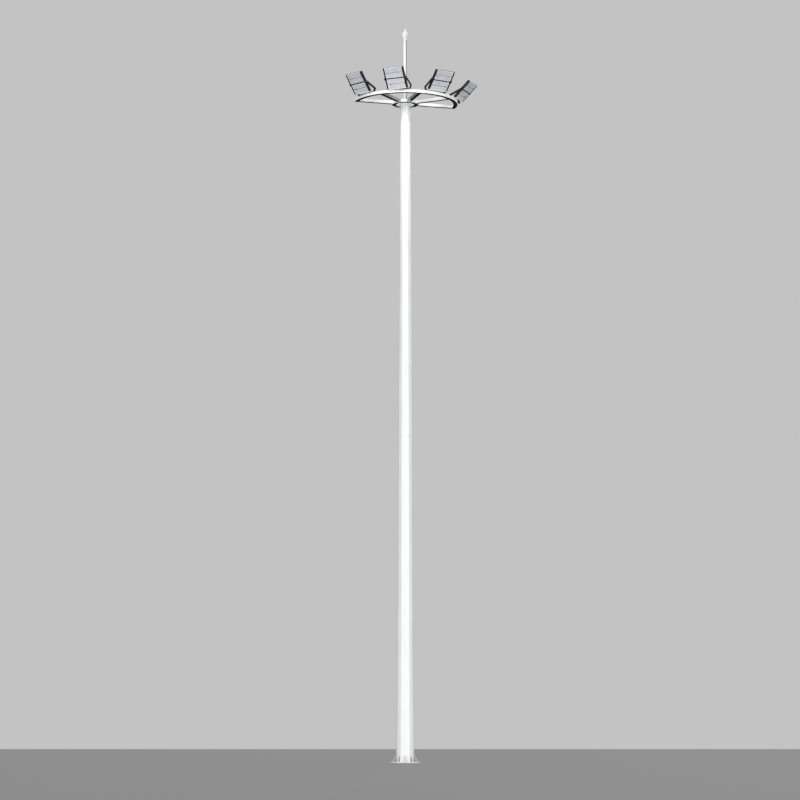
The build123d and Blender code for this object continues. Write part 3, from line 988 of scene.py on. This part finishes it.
# %% Model the tilt scale and yoke welds
RING_R, RING_HOLE, RING_T = 0.0275, 0.62, 0.0012
MARKS, MARK_STEP = 11, 10
MARK_START, MARK_END, MARK_HALF = 0.0205, 0.0265, 0.0004
MARK_LOW, MARK_HIGH = 0.001, 0.0017
SCALE_ALONG = (-1, 0, -0.4)
ARM_T, BASE_T = 0.020, 0.010
YOKE_BEAD = 0.036
tilt_out = yoke_frame(1).inverted() @ joint_place("lamp_1_tilt")
yoke_low, yoke_high = span(in_frame("yoke_1", yoke_frame(1)))
clear_selection()
bpy.ops.mesh.primitive_circle_add(vertices=48, radius=RING_R)
ring = bpy.context.active_object
edit(True)
whole_piece()
bpy.ops.mesh.extrude_edges_move()
draw_in(RING_HOLE)
whole_piece()
extrude(RING_T)
whole_piece()
bpy.ops.mesh.normals_make_consistent(inside=False)
edit(False)
mark = block((MARK_START, -MARK_HALF, MARK_LOW), (MARK_END, MARK_HALF, MARK_HIGH))
edit(True)
whole_piece()
bpy.ops.mesh.spin(steps=MARKS, dupli=True, angle=radians(MARK_STEP * MARKS), center=CENTRE,
                  axis=UP, use_auto_merge=False)
edit(False)
scale_place = standing((tilt_out.x, yoke_high.y, tilt_out.z), (0, 1, 0), SCALE_ALONG)
tilt_scale = repeat(as_one([ring, mark], "scale"), [scale_place], "tilt_scale")
report(coat(tilt_scale, "zinc"))
arm_inner = yoke_high.y - ARM_T
arm_feet = [facing(0, side * arm_inner, yoke_low.z + BASE_T) for side in BOTH_SIDES]
yoke_welds = repeat(bead(YOKE_BEAD, BEADS["yoke"]), arm_feet, "yoke_welds")
report(coat(yoke_welds, "black_powder"), f", arms {2 * arm_inner:.4f} m apart")

# %% [markdown]
# ## Onto the lamps
#
# Each lamp piece was modelled in the lamp's own frame, and each yoke piece in the yoke's. Now
# it is copied to all four, its place is written into its mesh, and it is told which body it
# rides on, so that it swivels and tilts with the real part.

# %% Copy to every lamp and ride
def ride_on(piece, body):
    """Tie a piece to the body it moves with."""
    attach(piece, body)
    return piece


def fit(model, place, body, n):
    """Put a copy of a piece on one lamp or yoke."""
    piece = as_one(copies(model, [place]), f"{model.name}_{n}")
    return ride_on(piece, f"{body}_{n}")


def fit_all(model, place_of, body):
    """Put a copy of a piece on every lamp or yoke."""
    made = {n: fit(model, place_of(n), body, n) for n in LAMPS}
    bpy.data.objects.remove(model)
    return made


fitted = {"bezel_frames": fit_all(bezel_frames, lamp_frame, "lamp"),
          "driver_case": fit_all(driver_case, lamp_frame, "lamp")}
for model, slot in ((lens_optics, "lens"), (bezel_screws, "zinc_bolts"),
                    (rail_screws, "black_aluminium"), (rail_clips, "black_aluminium"),
                    (clamp_bar, "black_aluminium"), (lid_screws, "zinc_bolts"),
                    (cable_glands, "black_housing")):
    fit_all(model, lamp_frame, "lamp")
fit_all(tilt_scale, yoke_frame, "yoke")
fit_all(yoke_welds, yoke_frame, "yoke")
for n in LAMPS:
    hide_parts(f"bezels_{n}")
    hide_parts(f"driver_box_{n}")
    on_panel = facing(bezel_high.x - BREATHER_SINK, BREATHER_Y[n], panel_lines[0])
    fit(breather, lamp_frame(n) @ on_panel, "lamp", n)
bpy.data.objects.remove(breather)

# %% Ride the mast's own pieces
for piece in (base_welds, head_welds, rod_welds, pole_seams, earthing_boss):
    ride_on(piece, "mast")
for piece in (earthing_bolt, head_bolts):
    ride_on(piece, "mast")
print("Mast pieces ride on the mast")

# %% [markdown]
# ## Mixing the finishes
#
# Every finish is a small network of shader nodes that works from a point's own place on the
# steel, so nothing needs to be unwrapped. Short helpers keep the networks readable. They add
# a node and feed its inputs, do arithmetic, mix two colours by a mask, ease a value from one
# level to another, and set the nodes out. An input may be a plain number or another node's
# output.

# %% Helpers for shader nodes
def feed(tree, value, socket):
    """Set an input, or link another node's output to it."""
    if isinstance(value, bpy.types.NodeSocket):
        tree.links.new(value, socket)
    else:
        socket.default_value = value


def add_node(tree, kind, choices=(), **inputs):
    """Add a shader node, set its choices and feed its named inputs."""
    made = tree.nodes.new("ShaderNode" + kind)
    for name, choice in dict(choices).items():
        setattr(made, name, choice)
    for name, value in inputs.items():
        feed(tree, value, made.inputs[name.replace("_", " ")])
    return made.outputs


def maths(tree, operation, *values):
    """Arithmetic on numbers or outputs."""
    made = tree.nodes.new("ShaderNodeMath")
    made.operation = operation
    for socket, value in zip(made.inputs, values):
        feed(tree, value, socket)
    return made.outputs["Value"]


def times(tree, first, second):
    """Two values multiplied."""
    return maths(tree, "MULTIPLY", first, second)


def plus(tree, first, second):
    """Two values added."""
    return maths(tree, "ADD", first, second)


def mixed(tree, mask, first, second):
    """The first colour where the mask is 0 and the second where it is 1."""
    made = tree.nodes.new("ShaderNodeMix")
    made.data_type = "RGBA"
    for place, value in ((0, mask), (6, first), (7, second)):
        feed(tree, value, made.inputs[place])
    return made.outputs[2]


def ramp(tree, value, start, end, low=0.0, high=1.0):
    """Move a value smoothly from low to high as it goes from start to end."""
    made = tree.nodes.new("ShaderNodeMapRange")
    made.interpolation_type = "SMOOTHSTEP"
    for place, number in enumerate((value, start, end, low, high)):
        feed(tree, number, made.inputs[place])
    return made.outputs["Result"]


def lay_out(tree, name):
    """Set the nodes out in columns, each to the left of what it feeds, and count them."""
    column = {node: 0 for node in tree.nodes}
    for _ in tree.nodes:
        for link in tree.links:
            column[link.from_node] = max(column[link.from_node], column[link.to_node] + 1)
    rows = {}
    for node, place in column.items():
        rows[place] = rows.get(place, 0) + 1
        node.location = (-260 * place, -240 * rows[place])
    print(f"{name}: {len(tree.nodes)} nodes")


print("Shader helpers are ready")

# %% [markdown]
# Two measures come up in several finishes: where a point is, or which way its surface faces,
# as x, y and z, and how far it lies from the mast's axis.

# %% Helpers for places on the steel
def xyz(tree, kind):
    """A point's Object place, or the Normal that its surface faces along, as x, y and z."""
    return add_node(tree, "SeparateXYZ", Vector=add_node(tree, "TexCoord")[kind])


def from_axis(tree, place):
    """How far a point lies from the mast's axis."""
    squares = (times(tree, place[axis], place[axis]) for axis in "XY")
    return maths(tree, "SQRT", plus(tree, *squares))


print("Place helpers are ready")

# %% [markdown]
# An effect that several finishes share is a node group, with inputs for what changes from one
# finish to the next. The first finds edges. A Bevel node gives the direction the surface
# would face if its edges were rounded; where that differs from the real direction, an edge is
# near. Multiplied by a grain, it gives the broken line along which paint rubs thin.

# %% Group: edge wear
def new_group(name, inputs, outputs):
    """An empty node group, with its numbers in and its sockets out."""
    tree = bpy.data.node_groups.new(name, "ShaderNodeTree")
    for label, value in inputs.items():
        number = tree.interface.new_socket(label, in_out="INPUT", socket_type="NodeSocketFloat")
        number.default_value = value
    for label, kind in outputs.items():
        tree.interface.new_socket(label, in_out="OUTPUT", socket_type="NodeSocket" + kind)
    given = tree.nodes.new("NodeGroupInput").outputs
    result = tree.nodes.new("NodeGroupOutput").inputs
    return tree, given, result


def use(tree, group, **inputs):
    """Place a group in a network and feed its inputs."""
    made = tree.nodes.new("ShaderNodeGroup")
    made.node_tree = group
    for name, value in inputs.items():
        feed(tree, value, made.inputs[name.replace("_", " ")])
    return made.outputs


edge_wear, given, result = new_group(
    "edge_wear", {"Radius": 0.003, "Grain": 60.0, "Cover": 0.5}, {"Mask": "Float"})
place = add_node(edge_wear, "TexCoord")["Object"]
rounded = add_node(edge_wear, "Bevel", {"samples": 6}, Radius=given["Radius"])["Normal"]
faced = add_node(edge_wear, "NewGeometry")["Normal"]
match = edge_wear.nodes.new("ShaderNodeVectorMath")
match.operation = "DOT_PRODUCT"
feed(edge_wear, rounded, match.inputs[0])
feed(edge_wear, faced, match.inputs[1])
near_edge = ramp(edge_wear, match.outputs["Value"], 0.985, 0.86)
grain = add_node(edge_wear, "TexNoise", Vector=place, Scale=given["Grain"], Detail=5.0,
                 Roughness=0.65)["Fac"]
broken = ramp(edge_wear, grain, given["Cover"], plus(edge_wear, given["Cover"], 0.12))
feed(edge_wear, times(edge_wear, near_edge, broken), result["Mask"])
lay_out(edge_wear, "edge_wear")

# %% [markdown]
# The second group is the slow drift in tone that any large painted or cast surface has, with
# a much finer grain beside it for the surface's relief. The third is rain: noise squeezed
# thin across and stretched long down the steel, kept only where a second, broader noise lets
# it through, so that some stretches run clean.

# %% Groups: drift and rain
drift, given, result = new_group(
    "drift", {"Patches": 3.0, "Grain": 500.0}, {"Tone": "Float", "Height": "Float"})
place = add_node(drift, "TexCoord")["Object"]
patches = add_node(drift, "TexNoise", Vector=place, Scale=given["Patches"], Detail=4.0,
                   Roughness=0.6)["Fac"]
fine = add_node(drift, "TexNoise", Vector=place, Scale=given["Grain"], Detail=2.0,
                Roughness=0.5)["Fac"]
feed(drift, ramp(drift, patches, 0.3, 0.7), result["Tone"])
feed(drift, fine, result["Height"])
lay_out(drift, "drift")

rain, given, result = new_group("rain", {"Across": 40.0, "Down": 1.2}, {"Mask": "Float"})
place = add_node(rain, "TexCoord")["Object"]
split = add_node(rain, "SeparateXYZ", Vector=place)
stretch = {"X": given["Across"], "Y": given["Across"], "Z": given["Down"]}
squeezed = add_node(rain, "CombineXYZ", **{axis: times(rain, split[axis], amount)
                                           for axis, amount in stretch.items()})["Vector"]
streaks = add_node(rain, "TexNoise", Vector=squeezed, Scale=1.0, Detail=3.0,
                   Roughness=0.55)["Fac"]
broad = add_node(rain, "TexNoise", Vector=place, Scale=1.7, Detail=2.0, Roughness=0.5)["Fac"]
wet = times(rain, ramp(rain, streaks, 0.52, 0.72), ramp(rain, broad, 0.42, 0.62))
feed(rain, wet, result["Mask"])
lay_out(rain, "rain")

# %% [markdown]
# The fourth group turns a height into a bumped normal, over edges that a Bevel node rounds by
# a millimetre or two. Sheared and folded steel never ends in a true knife edge, and that
# thin line of light along each edge is much of what makes it look solid.

# %% Group: relief
relief, given, result = new_group(
    "relief", {"Height": 0.5, "Strength": 0.3, "Depth": 0.001, "Rounding": 0.0015},
    {"Normal": "Vector"})
rounded = add_node(relief, "Bevel", {"samples": 4}, Radius=given["Rounding"])["Normal"]
bumped = add_node(relief, "Bump", Height=given["Height"], Strength=given["Strength"],
                  Distance=given["Depth"], Normal=rounded)["Normal"]
feed(relief, bumped, result["Normal"])
lay_out(relief, "relief")

# %% [markdown]
# A finish begins as one shader with its constants set, and ends when its colour and roughness
# are fed in. Between the two, `skin` gives it its relief, and `rubbed` lets what lies under
# it show along worn edges.

# %% Begin and end a finish
def begin(name, roughness, **constants):
    """Clear a named material to one shader, and return its network and the shader's inputs."""
    material = materials[name]
    material.use_nodes = True
    tree = material.node_tree
    tree.nodes.clear()
    shader = tree.nodes.new("ShaderNodeBsdfPrincipled")
    ending = tree.nodes.new("ShaderNodeOutputMaterial")
    tree.links.new(shader.outputs["BSDF"], ending.inputs["Surface"])
    shader.inputs["Roughness"].default_value = roughness
    for label, value in constants.items():
        shader.inputs[label.replace("_", " ")].default_value = value
    return tree, shader.inputs


def end(name, tree, inputs, colour, rough):
    """Feed a finish its colour and roughness, and set its nodes out."""
    feed(tree, colour, inputs["Base Color"])
    feed(tree, rough, inputs["Roughness"])
    lay_out(tree, name)


def skin(tree, inputs, tone, strength, depth, rounding):
    """Give a finish the fine relief that comes with its drift."""
    bumped = use(tree, relief, Height=tone["Height"], Strength=strength, Depth=depth,
                 Rounding=rounding)
    feed(tree, bumped["Normal"], inputs["Normal"])


def rubbed(tree, colour, amount, bare, **edges):
    """Let a bare colour show along rubbed edges, and return the colour and the edge mask."""
    worn = use(tree, edge_wear, **edges)["Mask"]
    return mixed(tree, times(tree, worn, amount), colour, bare), worn


def grey(level, warm=0.0):
    """A grey, a little warmer or cooler."""
    return (level * (1 + warm), level, level * (1 - warm), 1)


print("Ready to mix", len(materials), "finishes")

# %% [markdown]
# ### White paint
#
# The mast is galvanised, then sprayed satin white. New paint is almost even, so the drift in
# tone is only a few hundredths. Rain leaves faint grey-brown streaks, splashed earth tints
# the lowest half metre, dust dulls the flange, and zinc shows where edges have rubbed. The
# paint's skin has the very fine orange peel that a spray gun leaves. The function is kept
# apart from the material, because the ribs, head, rod and spearhead wear this paint too.

# %% Finish: white paint
PAINT_DULL, PAINT_BRIGHT = (0.838, 0.841, 0.846, 1), (0.888, 0.891, 0.895, 1)
STREAK, EARTH = grey(0.50, 0.08), grey(0.36, 0.09)
DUST, ZINC_BARE = grey(0.42, 0.02), grey(0.42)
SPLASH_TOP, DUST_TOP = 0.55, 0.045


def paint(tree, inputs):
    """Lay the white paint, and return its colour and roughness."""
    tone = use(tree, drift, Patches=2.2, Grain=420.0)
    wet = use(tree, rain, Across=46.0, Down=1.1)["Mask"]
    height = xyz(tree, "Object")["Z"]
    splash = times(tree, ramp(tree, height, SPLASH_TOP, 0.02), tone["Tone"])
    colour = mixed(tree, tone["Tone"], PAINT_DULL, PAINT_BRIGHT)
    colour = mixed(tree, times(tree, wet, 0.16), colour, STREAK)
    colour = mixed(tree, times(tree, splash, 0.26), colour, EARTH)
    colour = mixed(tree, ramp(tree, height, DUST_TOP, 0.0, 0.0, 0.46), colour, DUST)
    colour, worn = rubbed(tree, colour, 0.7, ZINC_BARE, Radius=0.003, Grain=70.0, Cover=0.56)
    rough = plus(tree, times(tree, tone["Tone"], 0.10), 0.36)
    rough = plus(tree, rough, times(tree, wet, 0.18))
    skin(tree, inputs, tone, strength=0.12, depth=0.0004, rounding=0.0018)
    feed(tree, times(tree, worn, 0.6), inputs["Metallic"])
    return colour, rough


tree, inputs = begin("white_paint", 0.42, Specular_IOR_Level=0.45)
end("white_paint", tree, inputs, *paint(tree, inputs))

# %% [markdown]
# ### Painted shade grey
#
# Some faces are painted a dull grey that stands in for the shade falling on them: painted
# shade. The ribs, two of the spokes and the rod all have such faces, so this grey is a group
# too, and each finish decides by a mask where it shows.

# %% Group: painted shade grey
# Two dull greys, painted in as shade on faces turned from the light.
SHADE_DULL, SHADE_BRIGHT = grey(0.25, 0.01), grey(0.31, -0.01)
painted_shade_grey, given, result = new_group("painted_shade_grey", {"Patches": 18.0}, {"Color": "Color"})
tone = use(painted_shade_grey, drift, Patches=given["Patches"], Grain=500.0)["Tone"]
feed(painted_shade_grey, mixed(painted_shade_grey, tone, SHADE_DULL, SHADE_BRIGHT), result["Color"])
lay_out(painted_shade_grey, "painted_shade_grey")


def with_painted_shade(tree, mask, colour, patches):
    """Paint that gives way to the painted shade grey where a mask says so."""
    return mixed(tree, mask, colour, use(tree, painted_shade_grey, Patches=patches)["Color"])


# %% [markdown]
# ### Rib paint
#
# The ribs on the foot keep their sloping edges white, but their sides are painted grey, as
# painted shade for the shade that falls between the ribs. A rib's sides face around the mast
# and its edges face outward or up, so the part of the surface's direction that points around
# the axis tells the two apart.

# %% Finish: rib paint
tree, inputs = begin("rib_paint", 0.46, Specular_IOR_Level=0.4)
colour, rough = paint(tree, inputs)
place, faces = xyz(tree, "Object"), xyz(tree, "Normal")
around = maths(tree, "SUBTRACT", times(tree, place["X"], faces["Y"]),
               times(tree, place["Y"], faces["X"]))
sideways = maths(tree, "ABSOLUTE", maths(tree, "DIVIDE", around, from_axis(tree, place)))
# The rib sides are painted grey here, as painted shade between the ribs.
shade_mask = ramp(tree, sideways, 0.7, 0.95, 0.0, 0.85)
end("rib_paint", tree, inputs, with_painted_shade(tree, shade_mask, colour, 18.0),
    plus(tree, rough, times(tree, shade_mask, 0.12)))

# %% [markdown]
# ### Head paint
#
# The ring, spokes and hub are channels that open downward. Outside they are white, but their
# insides and lower rims are painted near black, as painted shade for the dark that falls under
# the frame. The mask for it is plain geometry. A point's distance from the axis and its angle
# say whether it lies between the ring's two walls, between a spoke's two walls, or between the
# hub's. Ping-pong folds the angle so that all the spokes share one sum.

# %% Group: inside the channels
FROM_HUB, FROM_RING = 0.001, 0.0015
DOWNWARD = -0.6


def between(tree, value, low, high):
    """1 where a value lies between two limits, else 0."""
    return times(tree, maths(tree, "GREATER_THAN", value, low),
                 maths(tree, "LESS_THAN", value, high))


inside, _, result = new_group("inside_channels", {}, {"Mask": "Float"})
split, facing_z = xyz(inside, "Object"), xyz(inside, "Normal")["Z"]
angle = maths(inside, "SUBTRACT", maths(inside, "ARCTAN2", split["Y"], split["X"]), HEAD_TURN)
off_middle = maths(inside, "ABSOLUTE", maths(inside, "WRAP", angle, pi, -pi))
lean = maths(inside, "PINGPONG", off_middle, SPOKE_STEP / 2)
away = from_axis(inside, split)
ahead = times(inside, away, maths(inside, "COSINE", lean))
aside = times(inside, away, maths(inside, "SINE", lean))
half = WALL / 2
end_angle = pi / 2 + (SPOKE_HALF - half) / ((ring_inner + ring_outer) / 2)
in_ring = times(inside, between(inside, away, ring_inner + half, ring_outer - half),
                maths(inside, "LESS_THAN", off_middle, end_angle))
past_hub = maths(inside, "GREATER_THAN", ahead, hub_outer + FROM_HUB)
before_ring = maths(inside, "LESS_THAN", away, ring_inner - FROM_RING)
in_spoke = times(inside, maths(inside, "LESS_THAN", aside, SPOKE_HALF - half),
                 times(inside, past_hub, before_ring))
in_hub = between(inside, ahead, hub_inner + half, hub_outer - half)
hollow = maths(inside, "MAXIMUM", maths(inside, "MAXIMUM", in_ring, in_spoke), in_hub)
hollow = times(inside, hollow, maths(inside, "LESS_THAN", split["Z"], head_top - half))
# Faces that look down are painted black too, as painted shade under the frame.
underneath = maths(inside, "LESS_THAN", facing_z, DOWNWARD)
feed(inside, maths(inside, "MAXIMUM", hollow, underneath), result["Mask"])
lay_out(inside, "inside_channels")

# %% [markdown]
# The sides of the two spokes either side of one bay that face each other are painted grey
# too, as painted shade for the shade inside the bay. The bay's middle line is half a step round
# from the head's. Measured along and across that line, a point lies in the bay if it is less far
# to one side than the two spokes are, and a side faces inward if it looks back at the line.

# %% Finish: head paint
BAY_TURN = HEAD_TURN - SPOKE_STEP / 2


def part_along(tree, parts, turn):
    """How much of a place or direction lies along a level direction."""
    return plus(tree, times(tree, parts["X"], cos(turn)), times(tree, parts["Y"], sin(turn)))


tree, inputs = begin("head_paint", 0.42, Specular_IOR_Level=0.45)
colour, rough = paint(tree, inputs)
place, faces = xyz(tree, "Object"), xyz(tree, "Normal")
along = part_along(tree, place, BAY_TURN)
across, turned = (part_along(tree, parts, BAY_TURN + pi / 2) for parts in (place, faces))
in_bay = maths(tree, "LESS_THAN", maths(tree, "ABSOLUTE", across),
               times(tree, along, tan(SPOKE_STEP / 2)))
inward = times(tree, maths(tree, "SIGN", across), times(tree, turned, -1.0))
# The spokes' inward sides in the bay are painted grey, as painted shade.
shade_mask = times(tree, in_bay, ramp(tree, inward, 0.7, 0.9, 0.0, 0.9))
# The channel insides and undersides are painted near black, as painted shade.
black = use(tree, inside)["Mask"]
painted_shade_tone = use(tree, drift, Patches=14.0, Grain=200.0)["Tone"]
painted_shade_black = mixed(tree, painted_shade_tone, grey(0.004), grey(0.012))
end("head_paint", tree, inputs, mixed(tree, black, with_painted_shade(tree, shade_mask, colour, 9.0), painted_shade_black),
    plus(tree, rough, times(tree, black, 0.45)))

# %% [markdown]
# ### Rod and spearhead
#
# The rod is a plain galvanised tube, painted white. Its two right-hand faces are painted grey,
# as painted shade on its side away from the light, and which way a face looks tells the two
# sides apart. The spearhead on top is a separate casting, its white mixed brighter as painted
# light.

# %% Finishes: rod and spearhead
tree, inputs = begin("rod_paint", 0.45, Specular_IOR_Level=0.4)
colour, rough = paint(tree, inputs)
# Faces that look right are painted grey, as painted shade on the rod's far side.
shade_mask = ramp(tree, xyz(tree, "Normal")["X"], 0.2, 0.5, 0.0, 0.92)
end("rod_paint", tree, inputs, with_painted_shade(tree, shade_mask, colour, 12.0), rough)

tree, inputs = begin("spear_paint", 0.36, Specular_IOR_Level=0.5)
colour, rough = paint(tree, inputs)
# The spearhead's white is mixed brighter than the mast's paint: painted light on its sloping
# faces.
end("spear_paint", tree, inputs, mixed(tree, 0.8, colour, grey(0.97)), rough)

# %% [markdown]
# ### The blacks
#
# Most other finishes start alike: a drift between two shades, which moves the roughness too,
# over a fine relief. The yokes are powder coated, with a fine even texture that rubs to grey
# on the edges. The rails and heat sinks are anodised aluminium: thinner, smoother and a
# little metallic. The driver case is matt cast metal with a sandy skin. All three come from
# one function, so that the ways in which they differ are plain to see.

# %% Finishes: the three blacks
def toned(name, shades, rough, patches, grain, relief_of, **constants):
    """Begin a finish that drifts between two shades; return it with its colour and roughness."""
    tree, inputs = begin(name, rough[0], **constants)
    tone = use(tree, drift, Patches=patches, Grain=grain)
    skin(tree, inputs, tone, *relief_of)
    return (tree, inputs, mixed(tree, tone["Tone"], *shades),
            ramp(tree, tone["Tone"], 0.0, 1.0, *rough))


def black_finish(name, dark, light, worn_to, rough, patches, grain, bump, metal):
    """A black finish with rubbed edges."""
    shades = (grey(dark, -0.04), grey(light, -0.04))
    tree, inputs, colour, rough = toned(name, shades, (rough, rough + 0.12), patches, grain,
                                        (bump, 0.0006, 0.001), Specular_IOR_Level=0.25)
    colour, worn = rubbed(tree, colour, 0.6, grey(worn_to), Radius=0.002, Grain=90.0,
                          Cover=0.50)
    feed(tree, plus(tree, times(tree, worn, 0.3), metal), inputs["Metallic"])
    end(name, tree, inputs, colour, rough)


black_finish("black_powder", dark=0.008, light=0.014, worn_to=0.09, rough=0.52,
             patches=6.0, grain=900.0, bump=0.35, metal=0.0)
black_finish("black_anodised", dark=0.010, light=0.017, worn_to=0.16, rough=0.44,
             patches=4.0, grain=1400.0, bump=0.10, metal=0.1)
black_finish("matt_housing", dark=0.014, light=0.022, worn_to=0.08, rough=0.62,
             patches=8.0, grain=700.0, bump=0.45, metal=0.0)

# %% [markdown]
# ### Faces and fittings
#
# The bezels are satin white, with a little grime in the tone. The bar between modules is a
# darker grey, and its quick drift gives it the light flecks of moulded clips. The lens
# plates are clear plastic over white circuit boards, so they read as a pale lilac grey,
# clouded slightly, under a thin coat that is only half glossy. The domes over the diodes are
# the same plastic, thicker and paler.

# %% Finishes: bezel, bar and lenses
tree, inputs, colour, rough = toned(
    "white_bezel", ((0.80, 0.805, 0.81, 1), (0.88, 0.89, 0.90, 1)), (0.34, 0.48),
    patches=9.0, grain=800.0, relief_of=(0.15, 0.0003, 0.0008), Specular_IOR_Level=0.45)
colour, _ = rubbed(tree, colour, 0.3, grey(0.5), Radius=0.0012, Grain=120.0, Cover=0.52)
end("white_bezel", tree, inputs, colour, rough)

end("module_bar", *toned(
    "module_bar", (grey(0.26, 0.05), grey(0.50, 0.06)), (0.42, 0.60),
    patches=26.0, grain=800.0, relief_of=(0.2, 0.0003, 0.0008), Specular_IOR_Level=0.4))


def lens_finish(name, cloudy, clear, rough, patches):
    """Clear plastic over a white board."""
    end(name, *toned(name, (cloudy, clear), (rough, rough + 0.15), patches, 350.0,
                     (0.08, 0.0003, 0.0006), Specular_IOR_Level=0.4, Coat_Weight=0.3,
                     Coat_Roughness=0.2))


lens_finish("lens_plate", cloudy=(0.39, 0.40, 0.45, 1), clear=(0.46, 0.47, 0.52, 1),
            rough=0.36, patches=7.0)
lens_finish("lens_optic", cloudy=(0.46, 0.47, 0.53, 1), clear=(0.55, 0.56, 0.61, 1),
            rough=0.30, patches=11.0)

# %% [markdown]
# Bolts are hot-dip galvanised, and the zinc's crystals show as flat patches of slightly
# different grey, which is just what Voronoi cells are.

# %% Finish: zinc
tree, inputs = begin("zinc", 0.42, Specular_IOR_Level=0.5)
place = add_node(tree, "TexCoord")["Object"]
crystal = add_node(tree, "TexVoronoi", Vector=place, Scale=260.0)["Color"]
shade = add_node(tree, "SeparateXYZ", Vector=crystal)["X"]
tone = use(tree, drift, Patches=30.0, Grain=900.0)
skin(tree, inputs, tone, strength=0.2, depth=0.0003, rounding=0.0008)
feed(tree, ramp(tree, tone["Tone"], 0.0, 1.0, 0.75, 0.95), inputs["Metallic"])
end("zinc", tree, inputs, mixed(tree, shade, grey(0.44, -0.01), grey(0.66, -0.02)),
    ramp(tree, shade, 0.0, 1.0, 0.34, 0.56))

# %% [markdown]
# The steel parts take their finishes by name. A part that comes in four, one to a lamp, ends
# in a number, and that is cut off first.

# %% Coat the steel parts
COATED = {"white_paint": ("base_flange", "pole_lower", "pole_upper", "hub_webs", "head_plate",
                          "rod_foot"),
          "rib_paint": ("base_ribs",), "head_paint": ("hub", "spokes", "half_ring"),
          "rod_paint": ("lightning_rod",), "spear_paint": ("spearhead",),
          "zinc": ("swivel_bolts",), "black_powder": ("yoke", "tilt_bolts"),
          "black_anodised": ("lamp_frame", "heat_sinks"), "white_bezel": ("bezels",),
          "lens_plate": ("lenses",), "matt_housing": ("driver_box",)}
finish_of = {part: finish for finish, parts in COATED.items() for part in parts}
for name, node in frame["nodes"].items():
    coat(node, finish_of[name.rstrip("_1234")])
print("Coated", len(frame["nodes"]), "steel parts")

# %% [markdown]
# ## Floor, light and camera
#
# The floor is one plain pale sheet, so wide that its far edge lies at eye level like a
# horizon. The light is soft. Two broad suns shine from the front, one from each side, so that
# the mast's flats fade gently from the middle to its edges, and a weaker third from behind
# keeps the far side from going dark. A soft spot light, low in front, reaches the faces that
# look down, as light off pale ground would. The sky is even, and the camera sees it a little
# paler than the light it gives, so that the backdrop can be set by itself.

# %% Lay the floor
FLOOR_SIZE = 1600
clear_selection()
bpy.ops.mesh.primitive_plane_add(size=FLOOR_SIZE)
floor = bpy.context.active_object
floor.name = "floor"
floor_finish = bpy.data.materials.new("floor_grey")
floor_finish.use_nodes = True
floor_inputs = floor_finish.node_tree.nodes["Principled BSDF"].inputs
floor_inputs["Base Color"].default_value = grey(0.30)
floor_inputs["Roughness"].default_value = 0.9
floor.data.materials.append(floor_finish)
floor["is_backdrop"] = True
print("Floor:", floor.dimensions.x, "m square")

# %% Light it softly
LOW_PLACE = Vector((0, -14, 0.3))


def add_light(kind, name, strength, source, place=CENTRE):
    """A light at a place, shining from the direction of its source."""
    clear_selection()
    bpy.ops.object.light_add(type=kind, location=place)
    light = bpy.context.active_object
    light.name = name
    light.data.energy = strength
    light.rotation_euler = source.to_track_quat("Z", "Y").to_euler()
    return light


def soft_sun(name, strength, azimuth, elevation, spread):
    """A broad distant light from a direction, in degrees: azimuth 0 is from the front."""
    a, e = radians(azimuth), radians(elevation)
    source = Vector((sin(a) * cos(e), -cos(a) * cos(e), sin(e)))
    add_light("SUN", name, strength, source).data.angle = radians(spread)


soft_sun("left_sun", 1.36, azimuth=-30, elevation=14, spread=24)
soft_sun("right_sun", 1.46, azimuth=31, elevation=12, spread=24)
soft_sun("back_sun", 0.7, azimuth=160, elevation=28, spread=40)
low_light = add_light("SPOT", "low_light", 20000, LOW_PLACE - UP * head_low, LOW_PLACE)
low_light.data.spot_size = radians(16)
low_light.data.spot_blend = 1.0
low_light.data.shadow_soft_size = 1.5
low_light.visible_camera = False
print("Three soft suns and a low spot light")

# %% Hang the sky
SKY_LIGHT, SKY_SEEN = grey(0.40), grey(0.545)
sky = bpy.data.worlds.new("pale_sky")
sky.use_nodes = True
seen = sky.node_tree.nodes.new("ShaderNodeLightPath").outputs["Is Camera Ray"]
level = mixed(sky.node_tree, seen, SKY_LIGHT, SKY_SEEN)
feed(sky.node_tree, level, sky.node_tree.nodes["Background"].inputs["Color"])
bpy.context.scene.world = sky
bpy.context.scene.view_settings.view_transform = "Standard"
print("The sky gives", SKY_LIGHT[0], "and shows", SKY_SEEN[0])

# %% [markdown]
# The camera stands on the ground a long way off and looks up at the middle of the tower
# through a long lens, so that all of it is in view and its uprights hardly lean together. Its
# pitch follows from how far below the line of sight the foot of the mast should lie.

# %% Set up the camera
DISTANCE = 71.13
EYE = 0.40
LENS = 118.94
SENSOR = 36
SHIFT_X = -0.0065
FOOT_BELOW = radians(7.82)
bpy.ops.object.camera_add(location=(0, -DISTANCE, EYE))
camera = bpy.context.active_object
camera.name = "camera"
pitch = FOOT_BELOW - atan2(EYE, DISTANCE)
camera.rotation_euler = (pi / 2 + pitch, 0, 0)
camera.data.lens = LENS
camera.data.sensor_width = SENSOR
camera.data.shift_x = SHIFT_X
camera.data.clip_end = 2000
bpy.context.scene.camera = camera
print("Camera", DISTANCE, "m away, pitched up", round(degrees(pitch), 2), "degrees")

# %% [markdown]
# Last, the finished object's size is printed.

# %% Print the finished size
low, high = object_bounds()
print("Finished size", [round(size, 3) for size in high - low], "metres")
